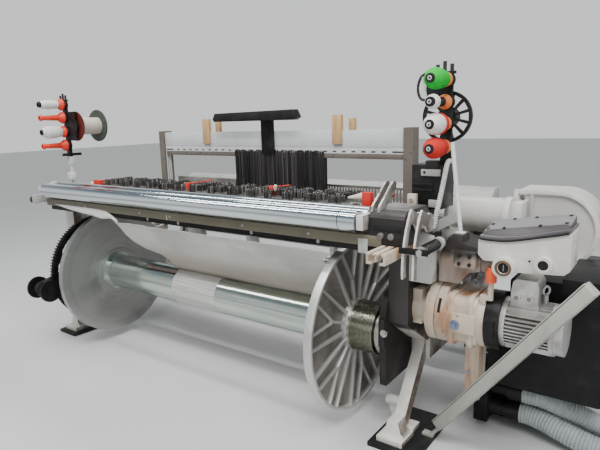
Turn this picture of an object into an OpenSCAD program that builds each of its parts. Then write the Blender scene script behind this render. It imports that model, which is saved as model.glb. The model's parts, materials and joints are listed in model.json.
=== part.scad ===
// Power loom seen from the warp side, with an empty warp beam.
// X runs along the beam, Y from the warp side to the cloth side, Z up, millimetres.

/* [Warp beam] */
// Height of the beam's axis above the floor
beam_z = 450; // [440:1:470]
// Diameter of the beam's flanges
flange_d = 800; // [700:1:810]
// Distance between the two flanges
flange_gap = 1793; // [1500:1:1800]
// How far the middle of the beam lies right of the loom's middle
beam_shift = 80; // [60:1:85]
// Outer diameter of the barrel
barrel_d = 216; // [160:1:224]
// Wall of the barrel tube
barrel_wall = 12; // [6:1:20]
// Thickness of a flange at its rim
rim_t = 38; // [30:1:45]
// Thickness of a flange's web
web_t = 12; // [8:1:20]
// Number of forked ribs on a flange
fork_ribs = 6; // [5:1:7]
// Diameter of the beam's shaft
shaft_d = 80; // [60:1:84]
// Diameter of the grooved coupling hub
hub_d = 234; // [200:1:240]

/* [Let off] */
// Module of the let off gears
gear_module = 6; // [6:1:6]
// Teeth of the ring gear on the beam
ring_teeth = 115; // [115:1:115]
// Teeth of the pinion
pinion_teeth = 17; // [17:1:17]
// Face width of the ring gear
ring_face = 30; // [24:1:34]
// Diameter of the pinion's two black discs
pinion_disc_d = 140; // [110:1:150]

/* [Frame] */
// Thickness of a side frame
frame_t = 90; // [70:1:100]
// Distance between the left ends of the heald frames and the left side frame
left_clear = 107; // [105:1:125]
// Inner face of the right side frame
right_in = 1220; // [1215:1:1240]
// Height of the side frames
frame_top = 880; // [870:1:885]
// Thickness of the floor pads
pad_t = 20; // [10:1:30]
// Diameter of a foot's bolt hole
foot_hole_d = 18; // [12:1:24]

/* [Back rest] */
// Diameter of both back rest rollers
roller_d = 90; // [80:1:92]
// Height of the roller axes
roller_z = 990; // [988:1:1000]
// Right end of the roller tubes
roller_right = 1150; // [1100:1:1152]
// Diameter of the back rest's pivot shaft
pivot_d = 50; // [40:1:60]
// Outer diameter of the tension spring
spring_d = 44; // [36:1:48]
// Wire of the tension spring
spring_wire = 5; // [3:0.5:6]

/* [Harness] */
// Number of the heald frames is three, this is the pitch between them
heald_pitch = 16; // [15:1:20]
// Thickness of a heald frame
heald_t = 10; // [8:1:12]
// Width of a heald frame
heald_w = 1982; // [1900:1:1990]
// Height of a heald frame's slats
slat_h = 98; // [80:1:104]
// Top of the heald frames at rest
heald_top = 1330; // [1320:1:1345]
// Travel of a heald frame to each side of its rest
heald_lift = 50; // [30:1:50]

/* [Stop motion] */
// Number of drop wire rails
rail_count = 6; // [4:1:6]
// Pitch between the rails
rail_pitch = 36; // [32:1:38]
// Length of a drop wire
drop_len = 150; // [120:1:160]

/* [Sley and cloth side] */
// Height of the reed
reed_h = 120; // [90:1:130]
// Number of gaps in the reed
reed_gaps = 96; // [60:1:110]
// Diameter of the sley's rocking shaft
rock_d = 80; // [60:1:90]
// Diameter of the take up roller
take_up_d = 160; // [130:1:165]
// Diameter of the press roller
press_d = 70; // [50:1:80]
// Diameter of the cloth roller
cloth_d = 100; // [80:1:140]

/* [Drive] */
// Height of the drive's axis
drive_z = 600; // [595:1:605]
// Diameter of the gearbox flanges
gear_flange_d = 250; // [220:1:260]
// Diameter of the motor over its fins
motor_d = 196; // [170:1:205]
// Number of the motor's fins on each quarter
motor_fins = 9; // [6:1:10]
// Bore of the housing's open boss
boss_bore_d = 40; // [30:1:44]

/* [Selvedge creels] */
// Length of a bobbin
bobbin_len = 165; // [140:1:175]
// Diameter of a full bobbin
bobbin_d = 84; // [70:1:86]
// Diameter of the left selvedge spool's far flange
spool_d = 216; // [180:1:220]
// Diameter of the spoked wheel on the right creel
wheel_d = 211; // [180:1:220]

/* [Hidden] */
$fn = 64;

// Clearances
run_gap = 0.1;
seat_gap = 0.3;

// The heald frames' middle lies a little left of the loom's
heald_mid = -7;
heald_left = heald_mid - heald_w / 2;
heald_right = heald_mid + heald_w / 2;
left_in = heald_left - left_clear;
roller_left = left_in - 75;

// The row's origin lies under the middle of the whole loom's box
cover_right = 2010;
front_foot_y = 1180;
knob_left = left_in - 211;
pinion_reach = gear_module * (ring_teeth + pinion_teeth) / 2;
pinion_angle = 189.5;
pinion_y = pinion_reach * cos(pinion_angle);
pinion_z = beam_z + pinion_reach * sin(pinion_angle);
origin_x = (cover_right + knob_left) / 2;
origin_y = (front_foot_y + pinion_y - pinion_disc_d / 2) / 2;

// Side frames
left_out = left_in - frame_t;
right_out = right_in + frame_t;
back_edge_y = -110;
leg_t = 50;
foot_back_y = -130;
foot_front_y = 1090;
rock_y = 760;
rock_z = 420;
reed_y = 704;
main_y = 520;
main_z = 560;
main_d = 50;
take_y = 1000;
take_z = 760;
press_reach = (take_up_d + press_d) / 2 + seat_gap;
press_y = take_y - press_reach * sin(45);
press_z = take_z - press_reach * cos(45);
cloth_y = 980;
cloth_z = 330;
journal_d = 40;
side_gap = 14;

// Warp beam
flange_r = flange_d / 2;
barrel_left = beam_shift - flange_gap / 2;
barrel_right = beam_shift + flange_gap / 2;
bearing_t = 40;
right_bearing_x = 1130;
left_bearing_x = left_in + 3;
ring_x = left_in + 55;
hub_x = barrel_right + rim_t;
shaft_left = left_bearing_x;
shaft_right = right_bearing_x + bearing_t + 12;

// Back rest
rear_y = -130;
front_y = -235;
arm_t = 30;
arm_right = roller_right + 5;
arm_left = roller_left - 5;
block_x = 1192;
block_right = 1345;
lever_x = 1355;
lever_pitch = 43;
lever_t = 8;
spring_x = 1430;
spring_y = -240;
spring_z = 905;
spring_len = 122;

// Harness
heald_y = 600;
slot_z = heald_top - slat_h;
bar_z = slot_z - 56;
low_z = 760;

// Stop motion
rail_y = 50;
rail_z = 985;
rail_left = left_in + 105;
rail_right = 1030;

// Drive and housings on the right
adaptor_x = 1618;
adaptor_t = 54;
motor_x = adaptor_x + adaptor_t;
motor_end = motor_x + 174;
cap_x = 1632;
cap_y = -77;
cap_z = 772;
house_x0 = 1584;
house_x1 = 1902;
house_y0 = -100;
house_y1 = 35;
house_z0 = 860;
boss_y = house_y0 - 26;
boss1 = [1686, 845];
boss2 = [1820, 873];
seam = [[1592, 943], [1662, 942], [1723, 950], [1802, 970], [1894, 992]];

function arc_pts(cy, cz, r, a0, a1, n) =
    [for (i = [0:n]) [cy + r * cos(a0 + (a1 - a0) * i / n), cz + r * sin(a0 + (a1 - a0) * i / n)]];

// A profile in Y and Z, drawn out along X
module along_x(x0, x1) {
    translate([x0, 0, 0])
        rotate([90, 0, 90])
            linear_extrude(x1 - x0)
                children();
}

// A profile in X and Z, drawn out along Y
module along_y(y0, y1) {
    translate([0, y1, 0])
        rotate([90, 0, 0])
            linear_extrude(y1 - y0)
                children();
}

module block(p, q) {
    translate(p)
        cube(q - p);
}

module rod_x(x0, x1, y, z, r) {
    translate([x0, y, z])
        rotate([0, 90, 0])
            cylinder(h = x1 - x0, r = r);
}

module rod_y(y0, y1, x, z, r) {
    translate([x, y0, z])
        rotate([-90, 0, 0])
            cylinder(h = y1 - y0, r = r);
}

module rod_z(z0, z1, x, y, r) {
    translate([x, y, z0])
        cylinder(h = z1 - z0, r = r);
}

// A flat outline with round corners
module round_rect(p, q, r) {
    translate([p[0] + r, p[1]])
        square([q[0] - p[0] - 2 * r, q[1] - p[1]]);
    translate([p[0], p[1] + r])
        square([q[0] - p[0], q[1] - p[1] - 2 * r]);
    for (x = [p[0] + r, q[0] - r])
        for (y = [p[1] + r, q[1] - r])
            translate([x, y])
                circle(r);
}

// Side frames: one casting each, with two slanted legs and round cornered windows
module frame_outline() {
    polygon([
        [foot_back_y - 20, pad_t], [foot_back_y + 49, pad_t], [134, 300], [820, 300],
        [foot_front_y - 49, pad_t], [foot_front_y + 20, pad_t], [1090, 440],
        [1090, frame_top], [back_edge_y, frame_top], [back_edge_y, 540], [121, 383]
    ]);
}

module frame_windows() {
    round_rect([165, 590], [235, 825], 30);
    round_rect([300, 640], [640, 825], 40);
    round_rect([260, 370], [430, 520], 30);
    round_rect([700, 520], [855, 825], 40);
}

module frame_pockets() {
    round_rect([140, 565], [260, 850], 50);
    round_rect([275, 615], [665, 850], 50);
    round_rect([235, 345], [455, 545], 40);
    round_rect([675, 495], [880, 850], 50);
}

module frame_bores(x0) {
    rod_x(x0 - 1, x0 + frame_t + 1, rock_y, rock_z, rock_d / 2 + run_gap);
    rod_x(x0 - 1, x0 + frame_t + 1, main_y, main_z, main_d / 2 + run_gap);
    for (p = [[take_y, take_z], [press_y, press_z], [cloth_y, cloth_z]])
        rod_x(x0 - 1, x0 + frame_t + 1, p[0], p[1], journal_d / 2 + run_gap);
    for (y = [foot_back_y, foot_front_y])
        rod_z(pad_t - 1, pad_t + 70, x0 + frame_t / 2, y, foot_hole_d / 2);
}

// A foot: sole, flared base of the leg, and a round ear with its web on the inner side
module foot(x0, y, ear) {
    mid = x0 + frame_t / 2;
    block([mid - 60, y - 62, pad_t], [mid + 60, y + 62, pad_t + 24]);
    along_y(y - 26, y + 44)
        polygon([[mid - 54, pad_t + 23], [mid + 54, pad_t + 23], [mid + 35, pad_t + 46],
            [mid + leg_t / 2, pad_t + 90], [mid - leg_t / 2, pad_t + 90], [mid - 35, pad_t + 46]]);
    if (y < 0) {
        rod_x(min(mid, mid + ear * 93), max(mid, mid + ear * 93), y + 110, 131, 22);
        along_y(y + 98, y + 122)
            polygon([[mid, 52], [mid, 131], [mid + ear * 81, 131], [mid + ear * 74, 88], [mid + ear * 58, 52]]);
        block([mid - 60, y + 50, pad_t + 12], [mid + 60, y + 122, pad_t + 34]);
    }
}

module side_frame(x0, ear) {
    side = (frame_t - leg_t) / 2;
    difference() {
        union() {
            difference() {
                along_x(x0, x0 + frame_t)
                    frame_outline();
                for (x = [x0 - 1, x0 + frame_t - side]) {
                    block([x, foot_back_y - 100, pad_t - 1], [x + side + 1, foot_front_y + 100, 300]);
                    block([x, foot_back_y - 100, 299], [x + side + 1, 130, 400]);
                }
            }
            foot(x0, foot_back_y, ear);
            foot(x0, foot_front_y, ear);
        }
        along_x(x0 - 1, x0 + frame_t + 1)
            frame_windows();
        for (x = [x0 - 1, x0 + frame_t - 28])
            along_x(x, x + 29)
                frame_pockets();
        frame_bores(x0);
    }
}

module right_side_frame() {
    color("ivory")
        side_frame(right_in, -1);
}

module left_side_frame() {
    color("ivory")
        side_frame(left_out, 1);
}

module floor_pads() {
    edge = 45;
    wide_edge = 92;
    long_edge = 280;
    color([0.12, 0.12, 0.12])
        for (x = [left_out, right_in])
            for (y = [foot_back_y, foot_front_y])
                let (right = x > 0 && y < 0 ? wide_edge : edge, far = y < 0 ? long_edge : 2 * edge)
                difference() {
                    block([x - edge, y - 2 * edge, 0], [x + frame_t + right, y + far, pad_t]);
                    rod_z(-1, pad_t + 1, x + frame_t / 2, y, foot_hole_d / 2);
                }
}

// Cross members
module rear_cross_beam() {
    color([0.38, 0.35, 0.27])
        union() {
            difference() {
                block([left_out, -230, 862], [arm_right, back_edge_y, 936]);
                block([left_out + 20, -222, 870], [arm_right - 20, back_edge_y - 8, 928]);
            }
            block([arm_right, -230, 862], [arm_right + 20, back_edge_y, 940]);
            block([arm_right, -130, 790], [1248, back_edge_y, 900]);
        }
}

module lower_cross_tubes() {
    color([0.8, 0.78, 0.72])
        for (p = [[560, 370], [985, 560]]) {
            difference() {
                rod_x(left_in, right_in, p[0], p[1], 42);
                rod_x(left_in + 12, right_in - 12, p[0], p[1], 36);
            }
        }
}

module breast_beam() {
    color([0.72, 0.73, 0.72])
        difference() {
            along_x(left_out, right_out)
                polygon(concat([[980, frame_top], [1130, frame_top]],
                    arc_pts(1100, 950, 30, 0, 90, 6), [[1040, 980], [980, 930]]));
            along_x(left_out + 30, right_out - 30)
                polygon([[992, 892], [1118, 892], [1118, 950], [1098, 966], [1046, 966], [992, 922]]);
        }
}

// Guides in which the ends of the heald frames slide
module harness_guide(end, s, wall) {
    guide_low = low_z - heald_lift - 20;
    slot_depth = 32;
    back_t = 23;
    guide_t = 3 * heald_pitch + 28;
    inner = end - s * slot_depth;
    outer = end + s * back_t;
    difference() {
        block([min(inner, outer), heald_y - 12, guide_low],
            [max(inner, outer), heald_y - 12 + guide_t, heald_top + 10]);
        for (i = [0:2])
            block([min(inner - s, end + 2 * s), heald_y + i * heald_pitch - seat_gap, guide_low - 1],
                [max(inner - s, end + 2 * s), heald_y + i * heald_pitch + heald_t + seat_gap, heald_top + 11]);
    }
    for (z = [700, 820])
        block([min(outer, wall), heald_y, z], [max(outer, wall), heald_y + 50, z + 56]);
}

module harness_guides() {
    color([0.36, 0.32, 0.28]) {
        harness_guide(heald_left, -1, left_in);
        harness_guide(heald_right, 1, right_in);
    }
}

// Bearing brackets of the warp beam
module bearing_plate(x0, low) {
    difference() {
        along_x(x0, x0 + bearing_t)
            union() {
                translate([-90, low])
                    square([180, 550 - low]);
                translate([0, 550])
                    circle(90);
                polygon([[80, 370], [230, 400], [230, 540], [80, 560]]);
            }
        rod_x(x0 - 1, x0 + bearing_t + 1, 0, beam_z, shaft_d / 2 + run_gap);
        for (a = [45, 135, 225, 315])
            rod_x(x0 - 1, x0 + bearing_t + 1, 68 * cos(a), beam_z + 68 * sin(a), 7);
    }
}

module beam_bearings() {
    color([0.16, 0.16, 0.17]) {
        bearing_plate(right_bearing_x, 140);
        block([right_bearing_x + bearing_t, 130, 405], [right_in, 230, 535]);
        bearing_plate(left_bearing_x, 300);
        block([left_in, 130, 405], [left_bearing_x, 230, 535]);
    }
}

module let_off_bracket() {
    color([0.1, 0.1, 0.1])
        difference() {
            along_x(left_bearing_x, left_bearing_x + bearing_t - 6)
                union() {
                    translate([pinion_y, pinion_z])
                        circle(40);
                    polygon([[pinion_y, pinion_z - 40], [-90, 330], [-90, 500], [pinion_y, pinion_z + 40]]);
                }
            rod_x(left_bearing_x - 1, left_bearing_x + bearing_t, pinion_y, pinion_z, 15 + run_gap);
        }
}

// Warp beam
module rib_pattern() {
    step = 360 / fork_ribs;
    first_fork = 10;
    fork_r = 0.6 * flange_r;
    rib_low = hub_d / 2 - 4;
    rib_high = flange_r - 12;
    for (i = [0:fork_ribs - 1])
        rotate(first_fork + i * step) {
            translate([rib_low, -6])
                square([fork_r - rib_low + 6, 12]);
            for (s = [-1, 1]) {
                polygon([[fork_r - 8, s * 4 - 4], [fork_r - 8, s * 4 + 4],
                    [rib_high * cos(s * step / 6), rib_high * sin(s * step / 6) + 4],
                    [rib_high * cos(s * step / 6), rib_high * sin(s * step / 6) - 4]]);
                rotate(s * step / 3)
                    polygon([[rib_low, -8], [rib_low, 8], [rib_high, 4], [rib_high, -4]]);
            }
        }
}

// A cast flange: inner face at z = 0, ribs towards +z
module flange() {
    difference() {
        union() {
            cylinder(h = web_t, r = flange_r);
            linear_extrude(rim_t)
                difference() {
                    circle(flange_r);
                    circle(flange_r - 14);
                }
            linear_extrude(rim_t - 4)
                rib_pattern();
            cylinder(h = rim_t, r = hub_d / 2 + 4);
        }
        translate([0, 0, -1])
            cylinder(h = rim_t + 2, r = shaft_d / 2 + run_gap / 2);
        rotate_extrude()
            translate([barrel_d / 2 + 40, 0])
                circle(3);
    }
}

module left_flange() {
    color([0.68, 0.68, 0.67])
        translate([barrel_left, 0, beam_z])
            rotate([0, -90, 0])
                flange();
}

module right_flange() {
    color([0.68, 0.68, 0.67])
        translate([barrel_right, 0, beam_z])
            rotate([0, 90, 0])
                flange();
}

module beam_barrel() {
    color([0.7, 0.73, 0.7])
        difference() {
            union() {
                rod_x(barrel_left, barrel_right, 0, beam_z, barrel_d / 2);
                rod_x(barrel_left, barrel_left + 14, 0, beam_z, barrel_d / 2 + 16);
                rod_x(barrel_right - 14, barrel_right, 0, beam_z, barrel_d / 2 + 16);
                rod_x(shaft_left, shaft_right, 0, beam_z, shaft_d / 2);
            }
            difference() {
                rod_x(barrel_left + 30, barrel_right - 30, 0, beam_z, barrel_d / 2 - barrel_wall);
                rod_x(barrel_left + 29, barrel_right - 29, 0, beam_z, shaft_d / 2);
            }
        }
}

// Coupling hub of the beam: collar, grooved cylinder and two polished rings
module grooved_hub() {
    groove_n = 9;
    groove_pitch = 6.4;
    color([0.55, 0.55, 0.45])
        translate([hub_x, 0, beam_z])
            rotate([0, 90, 0])
                difference() {
                    union() {
                        cylinder(h = 10, r = hub_d / 2 + 4);
                        cylinder(h = 68, r = hub_d / 2);
                        cylinder(h = 78, r = hub_d / 2 - 14);
                        cylinder(h = 92, r = hub_d / 2 - 8);
                        cylinder(h = 104, r = hub_d / 2 - 26);
                    }
                    translate([0, 0, 69])
                        difference() {
                            cylinder(h = 6, r = hub_d);
                            translate([0, 0, -1])
                                cylinder(h = 8, r = hub_d / 2 - 14);
                        }
                    for (i = [0:groove_n - 1])
                        translate([0, 0, 14 + i * groove_pitch])
                            difference() {
                                cylinder(h = 1.6, r = hub_d);
                                translate([0, 0, -1])
                                    cylinder(h = 4, r = hub_d / 2 - 2);
                            }
                    translate([0, 0, -1])
                        cylinder(h = 110, r = shaft_d / 2 + run_gap / 2);
                }
}

// A spur gear's outline: straight flanked teeth with backlash
module gear_outline(teeth, turn) {
    pitch_r = gear_module * teeth / 2;
    root_r = pitch_r - 1.15 * gear_module;
    tip_r = pitch_r + 0.8 * gear_module;
    half_root = 0.80 * gear_module / root_r * 180 / PI;
    half_pitch = 0.62 * gear_module / pitch_r * 180 / PI;
    half_tip = 0.30 * gear_module / tip_r * 180 / PI;
    rotate(turn)
        polygon([for (i = [0:teeth - 1]) let (a = 360 * i / teeth)
            for (p = [[root_r, -half_root], [pitch_r, -half_pitch], [tip_r, -half_tip],
                    [tip_r, half_tip], [pitch_r, half_pitch], [root_r, half_root]])
                p[0] * [cos(a + p[1]), sin(a + p[1])]]);
}

module ring_gear() {
    pitch_r = gear_module * ring_teeth / 2;
    color([0.08, 0.08, 0.08])
        difference() {
            union() {
                along_x(ring_x, ring_x + ring_face)
                    translate([0, beam_z])
                        difference() {
                            gear_outline(ring_teeth, pinion_angle);
                            for (i = [0:7])
                                rotate(i * 45)
                                    for (k = [-12, -6, 0, 6, 12])
                                        rotate(k)
                                            translate([pitch_r - 72, 0])
                                                circle(34);
                        }
                rod_x(ring_x - 8, ring_x + ring_face + 14, 0, beam_z, 75);
            }
            rod_x(ring_x - 10, ring_x + ring_face + 20, 0, beam_z, shaft_d / 2 + run_gap / 2);
        }
}

module let_off_pinion() {
    color([0.07, 0.07, 0.07]) {
        along_x(ring_x - 1, ring_x + ring_face + 1)
            translate([pinion_y, pinion_z])
                gear_outline(pinion_teeth, pinion_angle + 180 + 180 / pinion_teeth);
        rod_x(ring_x - 90, ring_x + ring_face + 50, pinion_y, pinion_z, 15);
        for (x = [ring_x - 86, ring_x + ring_face + 34]) {
            rod_x(x, x + 12, pinion_y, pinion_z, pinion_disc_d / 2);
            rod_x(x - 5, x + 17, pinion_y, pinion_z, 26);
        }
    }
}

// Back rest
module back_roller(y) {
    color([0.75, 0.78, 0.78])
        difference() {
            union() {
                rod_x(roller_left, roller_right, y, roller_z, roller_d / 2);
                rod_x(arm_left - 22, arm_right + 22, y, roller_z, 15);
            }
            difference() {
                rod_x(roller_left + 14, roller_right - 14, y, roller_z, roller_d / 2 - 6);
                rod_x(roller_left + 13, roller_right - 13, y, roller_z, 15);
            }
        }
}

module front_back_roller() {
    back_roller(front_y);
}

module rear_back_roller() {
    back_roller(rear_y);
}

module arm_outline() {
    translate([front_y - 30, roller_z - 30])
        square(60);
    translate([rear_y, roller_z])
        circle(34);
    translate([front_y, roller_z - 26])
        square([rear_y - front_y, 52]);
}

module lever_outline() {
    polygon(concat(arc_pts(124, 820, 401, 146, 184, 14), arc_pts(124, 820, 373, 184, 146, 14)));
    polygon([[-232, 1006], [-128, 966], [-116, 1012], [-200, 1050]]);
    translate([rear_y, roller_z])
        circle(38);
}

module back_rest_arms() {
    color([0.86, 0.82, 0.78])
        difference() {
            union() {
                along_x(arm_right, arm_right + arm_t)
                    arm_outline();
                along_x(arm_left - arm_t, arm_left)
                    arm_outline();
                rod_x(arm_right + arm_t, lever_x + lever_pitch + lever_t, rear_y, roller_z, pivot_d / 2);
                rod_x(arm_left - arm_t - 46, arm_left - arm_t, rear_y, roller_z, pivot_d / 2);
                for (x = [lever_x, lever_x + lever_pitch])
                    along_x(x, x + lever_t)
                        lever_outline();
                block([lever_x - 8, -280, 882], [spring_x + 30, -272, 928]);
                block([lever_x - 8, -280, 882], [lever_x + lever_pitch + lever_t, -246, 892]);
            }
            for (y = [front_y, rear_y]) {
                rod_x(arm_right - 1, arm_right + 23, y, roller_z, 15 + run_gap);
                rod_x(arm_left - 23, arm_left + 1, y, roller_z, 15 + run_gap);
            }
        }
}

// Ribbed stand in for a coil spring, with its rod and nut, carried by the lever's clamp plate
module tension_spring() {
    turns = 9;
    turn_pitch = (spring_len - spring_wire) / turns;
    color([0.1, 0.1, 0.11])
        union() {
            rod_y(-272, -50, spring_x, spring_z, 7);
            rod_y(-290, -280, spring_x, spring_z, 13);
            rod_y(-272, spring_y, spring_x, spring_z, spring_d / 2);
            rod_y(spring_y - 1, spring_y + spring_len, spring_x, spring_z, spring_d / 2 - spring_wire);
            for (i = [0:turns])
                let (y = spring_y + i * turn_pitch)
                    rod_y(y, y + spring_wire, spring_x, spring_z, spring_d / 2);
        }
}

// Left bracket of the back rest, with its black knob
module back_rest_bracket() {
    web_x = arm_left - arm_t - 46;
    color([0.6, 0.6, 0.58])
        difference() {
            union() {
                along_x(web_x, web_x + 40)
                    union() {
                        translate([rear_y, roller_z])
                            circle(48);
                        polygon([[-178, 900], [-20, 900], [-90, 1010], [-170, 1010]]);
                    }
                block([web_x, -180, 880], [left_in, -20, 900]);
                block([web_x - 14, -285, 905], [web_x + 10, -150, 960]);
            }
            rod_x(web_x - 20, web_x + 41, rear_y, roller_z, pivot_d / 2 + run_gap);
            block([left_out - 1, -232, 861], [left_in + 1, back_edge_y + 1, 937]);
        }
    color([0.05, 0.05, 0.05])
        rod_x(knob_left, web_x - 14, -255, 925, 26);
}

// Block that carries the right end of the back rest
module head_block() {
    color([0.28, 0.25, 0.25])
        difference() {
            union() {
                along_x(block_x, block_right)
                    polygon([[-228, 902], [back_edge_y + 2, 902], [back_edge_y + 2, frame_top], [20, frame_top],
                        [20, 1000], [-20, 1040], [-190, 1040], [-228, 1010]]);
                rod_x(block_x, block_right, -190, 1002, 38);
                for (x = [1245, 1290])
                    rod_y(-236, -228, x, 940, 13);
            }
            rod_x(block_x - 1, block_right + 1, rear_y, roller_z, pivot_d / 2 + run_gap);
        }
    color([0.5, 0.47, 0.44])
        for (x = [1196, 1226])
            along_x(x, x + 9)
                polygon([[-222, 1030], [-206, 1022], [-180, 1030], [-76, 1108], [-70, 1128], [-84, 1142],
                    [-102, 1140], [-216, 1054]]);
}

module profile_rail() {
    color([0.76, 0.7, 0.62])
        along_y(-360, back_edge_y)
            translate([1250, 858])
                difference() {
                    square([80, 44]);
                    for (x = [8, 44])
                        translate([x, 8])
                            square([28, 26]);
                    translate([24, -1])
                        square([32, 12]);
                    for (x = [16, 52])
                        translate([x, 20])
                            square([12, 30]);
                }
}

module lever_casting() {
    color([0.7, 0.7, 0.68])
        difference() {
            union() {
                along_x(right_out, right_out + 95)
                    polygon([[-108, 735], [-20, 735], [-20, 790], [-84, 850], [-108, 850]]);
                along_y(-108, -84)
                    polygon([[right_out, 735], [1405, 735], [1418, 800], [1420, 880], [1408, 930],
                        [block_right + 6, 940], [block_right + 6, frame_top - 2], [right_out, frame_top - 2]]);
                rod_y(-108, -84, spring_x, spring_z, 24);
            }
            rod_y(-110, -80, spring_x, spring_z, 16);
        }
}

// Bridge casting between the side frame, the gearbox and the housing
module bridge_casting() {
    color([0.72, 0.62, 0.5])
        difference() {
            union() {
                along_y(-60, 110)
                    polygon([[right_out + 110, 740], [1500, 740], [1540, 790], [house_x0, 800], [house_x0, 890],
                        [1500, 910], [right_out + 150, 930], [right_out + 110, 850]]);
                block([right_out, -18, 740], [right_out + 110, 110, 850]);
                block([1492, -100, 818], [house_x0 - 8, -60, 880]);
                block([1470, -60, 880], [1512, 20, 936]);
                block([1540, -50, 800], [1645, house_y1 - 1, house_z0]);
            }
            for (x = [1514, 1554])
                for (z = [833, 864])
                    rod_y(-101, -88, x, z, 7);
        }
}

// Drive gearbox: input cylinder, two flange plates, ribbed body and foot
module gearbox() {
    flange_r2 = gear_flange_d / 2;
    color([0.82, 0.76, 0.66])
        difference() {
            union() {
                rod_x(right_out, 1386, 0, drive_z, 72);
                rod_x(1386, 1424, 0, drive_z, flange_r2);
                rod_x(1428, 1462, 0, drive_z, flange_r2);
                rod_x(1420, 1432, 0, drive_z, flange_r2 - 10);
                along_x(1462, 1590)
                    union() {
                        translate([0, drive_z])
                            circle(100);
                        round_rect([-106, drive_z - 96], [106, drive_z + 96], 34);
                    }
                along_x(1480, 1500)
                    round_rect([-112, drive_z - 108], [112, drive_z + 108], 34);
                along_x(1560, 1576)
                    round_rect([-112, drive_z - 108], [112, drive_z + 108], 34);
                rod_x(1590, adaptor_x, 0, drive_z, 116);
                block([1596, cap_y - 11, drive_z + 78], [adaptor_x - 1, cap_y + 11, drive_z + 118]);
                block([1596, cap_y - 11, drive_z + 100], [cap_x, cap_y + 11, drive_z + 118]);
                rod_z(drive_z + 100, cap_z, cap_x, cap_y, 11);
                along_x(1462, 1590)
                    translate([-128, drive_z - 36])
                        square([30, 72]);
                rod_y(-136, -120, 1516, drive_z - 4, 30);
                along_x(1530, 1586)
                    polygon([[-40, drive_z - 90], [60, drive_z - 90], [40, 260], [-20, 244], [-40, 300]]);
                rod_y(-46, -40, 1550, 372, 12);
                along_x(right_out, right_out + 40)
                    polygon([[-60, drive_z - 60], [60, drive_z - 60], [120, drive_z + 40], [60, drive_z + 90],
                        [-60, drive_z + 90]]);
            }
            rod_y(-140, -128, 1516, drive_z - 4, 14);
        }
}

module adaptor_ring() {
    color([0.1, 0.09, 0.09])
        difference() {
            union() {
                rod_x(adaptor_x, motor_x, 0, drive_z, 118);
                block([adaptor_x + 10, -132, drive_z - 30], [motor_x - 10, -100, drive_z + 34]);
            }
            rod_x(motor_x - 10, motor_x + 1, 0, drive_z, 60);
        }
}

// Finned motor along X
module fin_outline() {
    circle(motor_d / 2 - 22);
    for (q = [0:3])
        rotate(q * 90)
            for (i = [0:motor_fins - 1])
                let (y = (i - (motor_fins - 1) / 2) * 14)
                    translate([0, y - 2])
                        square([sqrt(pow(motor_d / 2, 2) - y * y), 4]);
}

module motor() {
    color([0.78, 0.76, 0.74])
        union() {
            rod_x(motor_x, motor_x + 18, 0, drive_z, motor_d / 2);
            rod_x(motor_end, motor_end + 14, 0, drive_z, motor_d / 2);
            along_x(motor_x + 18, motor_end)
                translate([0, drive_z])
                    fin_outline();
            rod_x(motor_end + 14, motor_end + 46, 0, drive_z, motor_d / 2 - 6);
            block([motor_x + 28, -52, drive_z + 70], [motor_x + 128, 52, drive_z + 100]);
            rod_z(drive_z + 80, drive_z + 131, motor_end - 33, 0, 9);
            translate([motor_end - 33, 0, drive_z + 147])
                rotate([90, 0, 60])
                    rotate_extrude()
                        translate([16, 0])
                            circle(4.5);
        }
}

module terminal_box() {
    gland_x = [motor_x + 52, motor_x + 96];
    color([0.8, 0.79, 0.77])
        difference() {
            union() {
                along_y(-60, 56)
                    translate([motor_x, drive_z])
                        polygon([[29, 100], [126, 100], [127, 146], [127, 172], [117, 191], [50, 193],
                            [36, 182], [30, 146]]);
                for (x = gland_x)
                    rod_y(-70, -60, x, drive_z + 124, 14);
            }
            for (x = gland_x)
                rod_y(-71, -64, x, drive_z + 124, 8);
        }
}

module oil_cap() {
    color([0.95, 0.3, 0.15])
        union() {
            rod_z(cap_z, cap_z + 44, cap_x, cap_y, 20.5);
            rod_z(cap_z + 44, cap_z + 56, cap_x, cap_y, 16);
        }
}

// Cream housing with two round bosses, and its grey lid on a curved seam
module cream_housing() {
    color([0.9, 0.88, 0.83])
        difference() {
            union() {
                along_y(house_y0, house_y1)
                    union() {
                        polygon(concat([[house_x0 + 22, house_z0], [1655, house_z0], [1690, 826], [1884, 840],
                            [house_x1, 856], [house_x1, 984]], [for (k = [4:-1:0]) seam[k]],
                            [[house_x0 + 2, 935], [house_x0 + 2, 880]]));
                        translate(boss1)
                            circle(39);
                    }
                along_y(boss_y, house_y0 + 1)
                    union() {
                        translate(boss1)
                            circle(40);
                        translate(boss2)
                            circle(29);
                    }
            }
            rod_y(boss_y - 1, boss_y + 80, boss1[0], boss1[1], boss_bore_d / 2);
            block([boss1[0] - 6, boss_y - 1, boss1[1]],
                [boss1[0] + 6, boss_y + 60, boss1[1] + boss_bore_d / 2 + 5]);
            rod_y(boss_y - 1, boss_y + 20, boss2[0], boss2[1], 18);
        }
}

module housing_lid() {
    lip = 12;
    back_rise = 8;
    color([0.55, 0.53, 0.54])
        union() {
            along_y(house_y0 - 4, house_y1 + 4)
                polygon(concat(seam, [[house_x1 - 2, 994], [house_x1 - 2, 994 + lip]],
                    [for (k = [4:-1:0]) seam[k] + [0, lip]]));
            intersection() {
                along_y(house_y0 + 8, house_y1 - 8)
                    polygon(concat(seam, [[seam[4][0], seam[4][1] + 60], [seam[0][0] + 8, seam[4][1] + 60]]));
                translate([0, house_y0, seam[0][1]])
                    rotate([back_rise, 0, 0])
                        along_y(-20, house_y1 - house_y0 + 20)
                            polygon([[1600, -40], [1894, -40], [1894, 72], [1884, 76], [1618, 33], [1600, 22]]);
            }
        }
}

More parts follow.
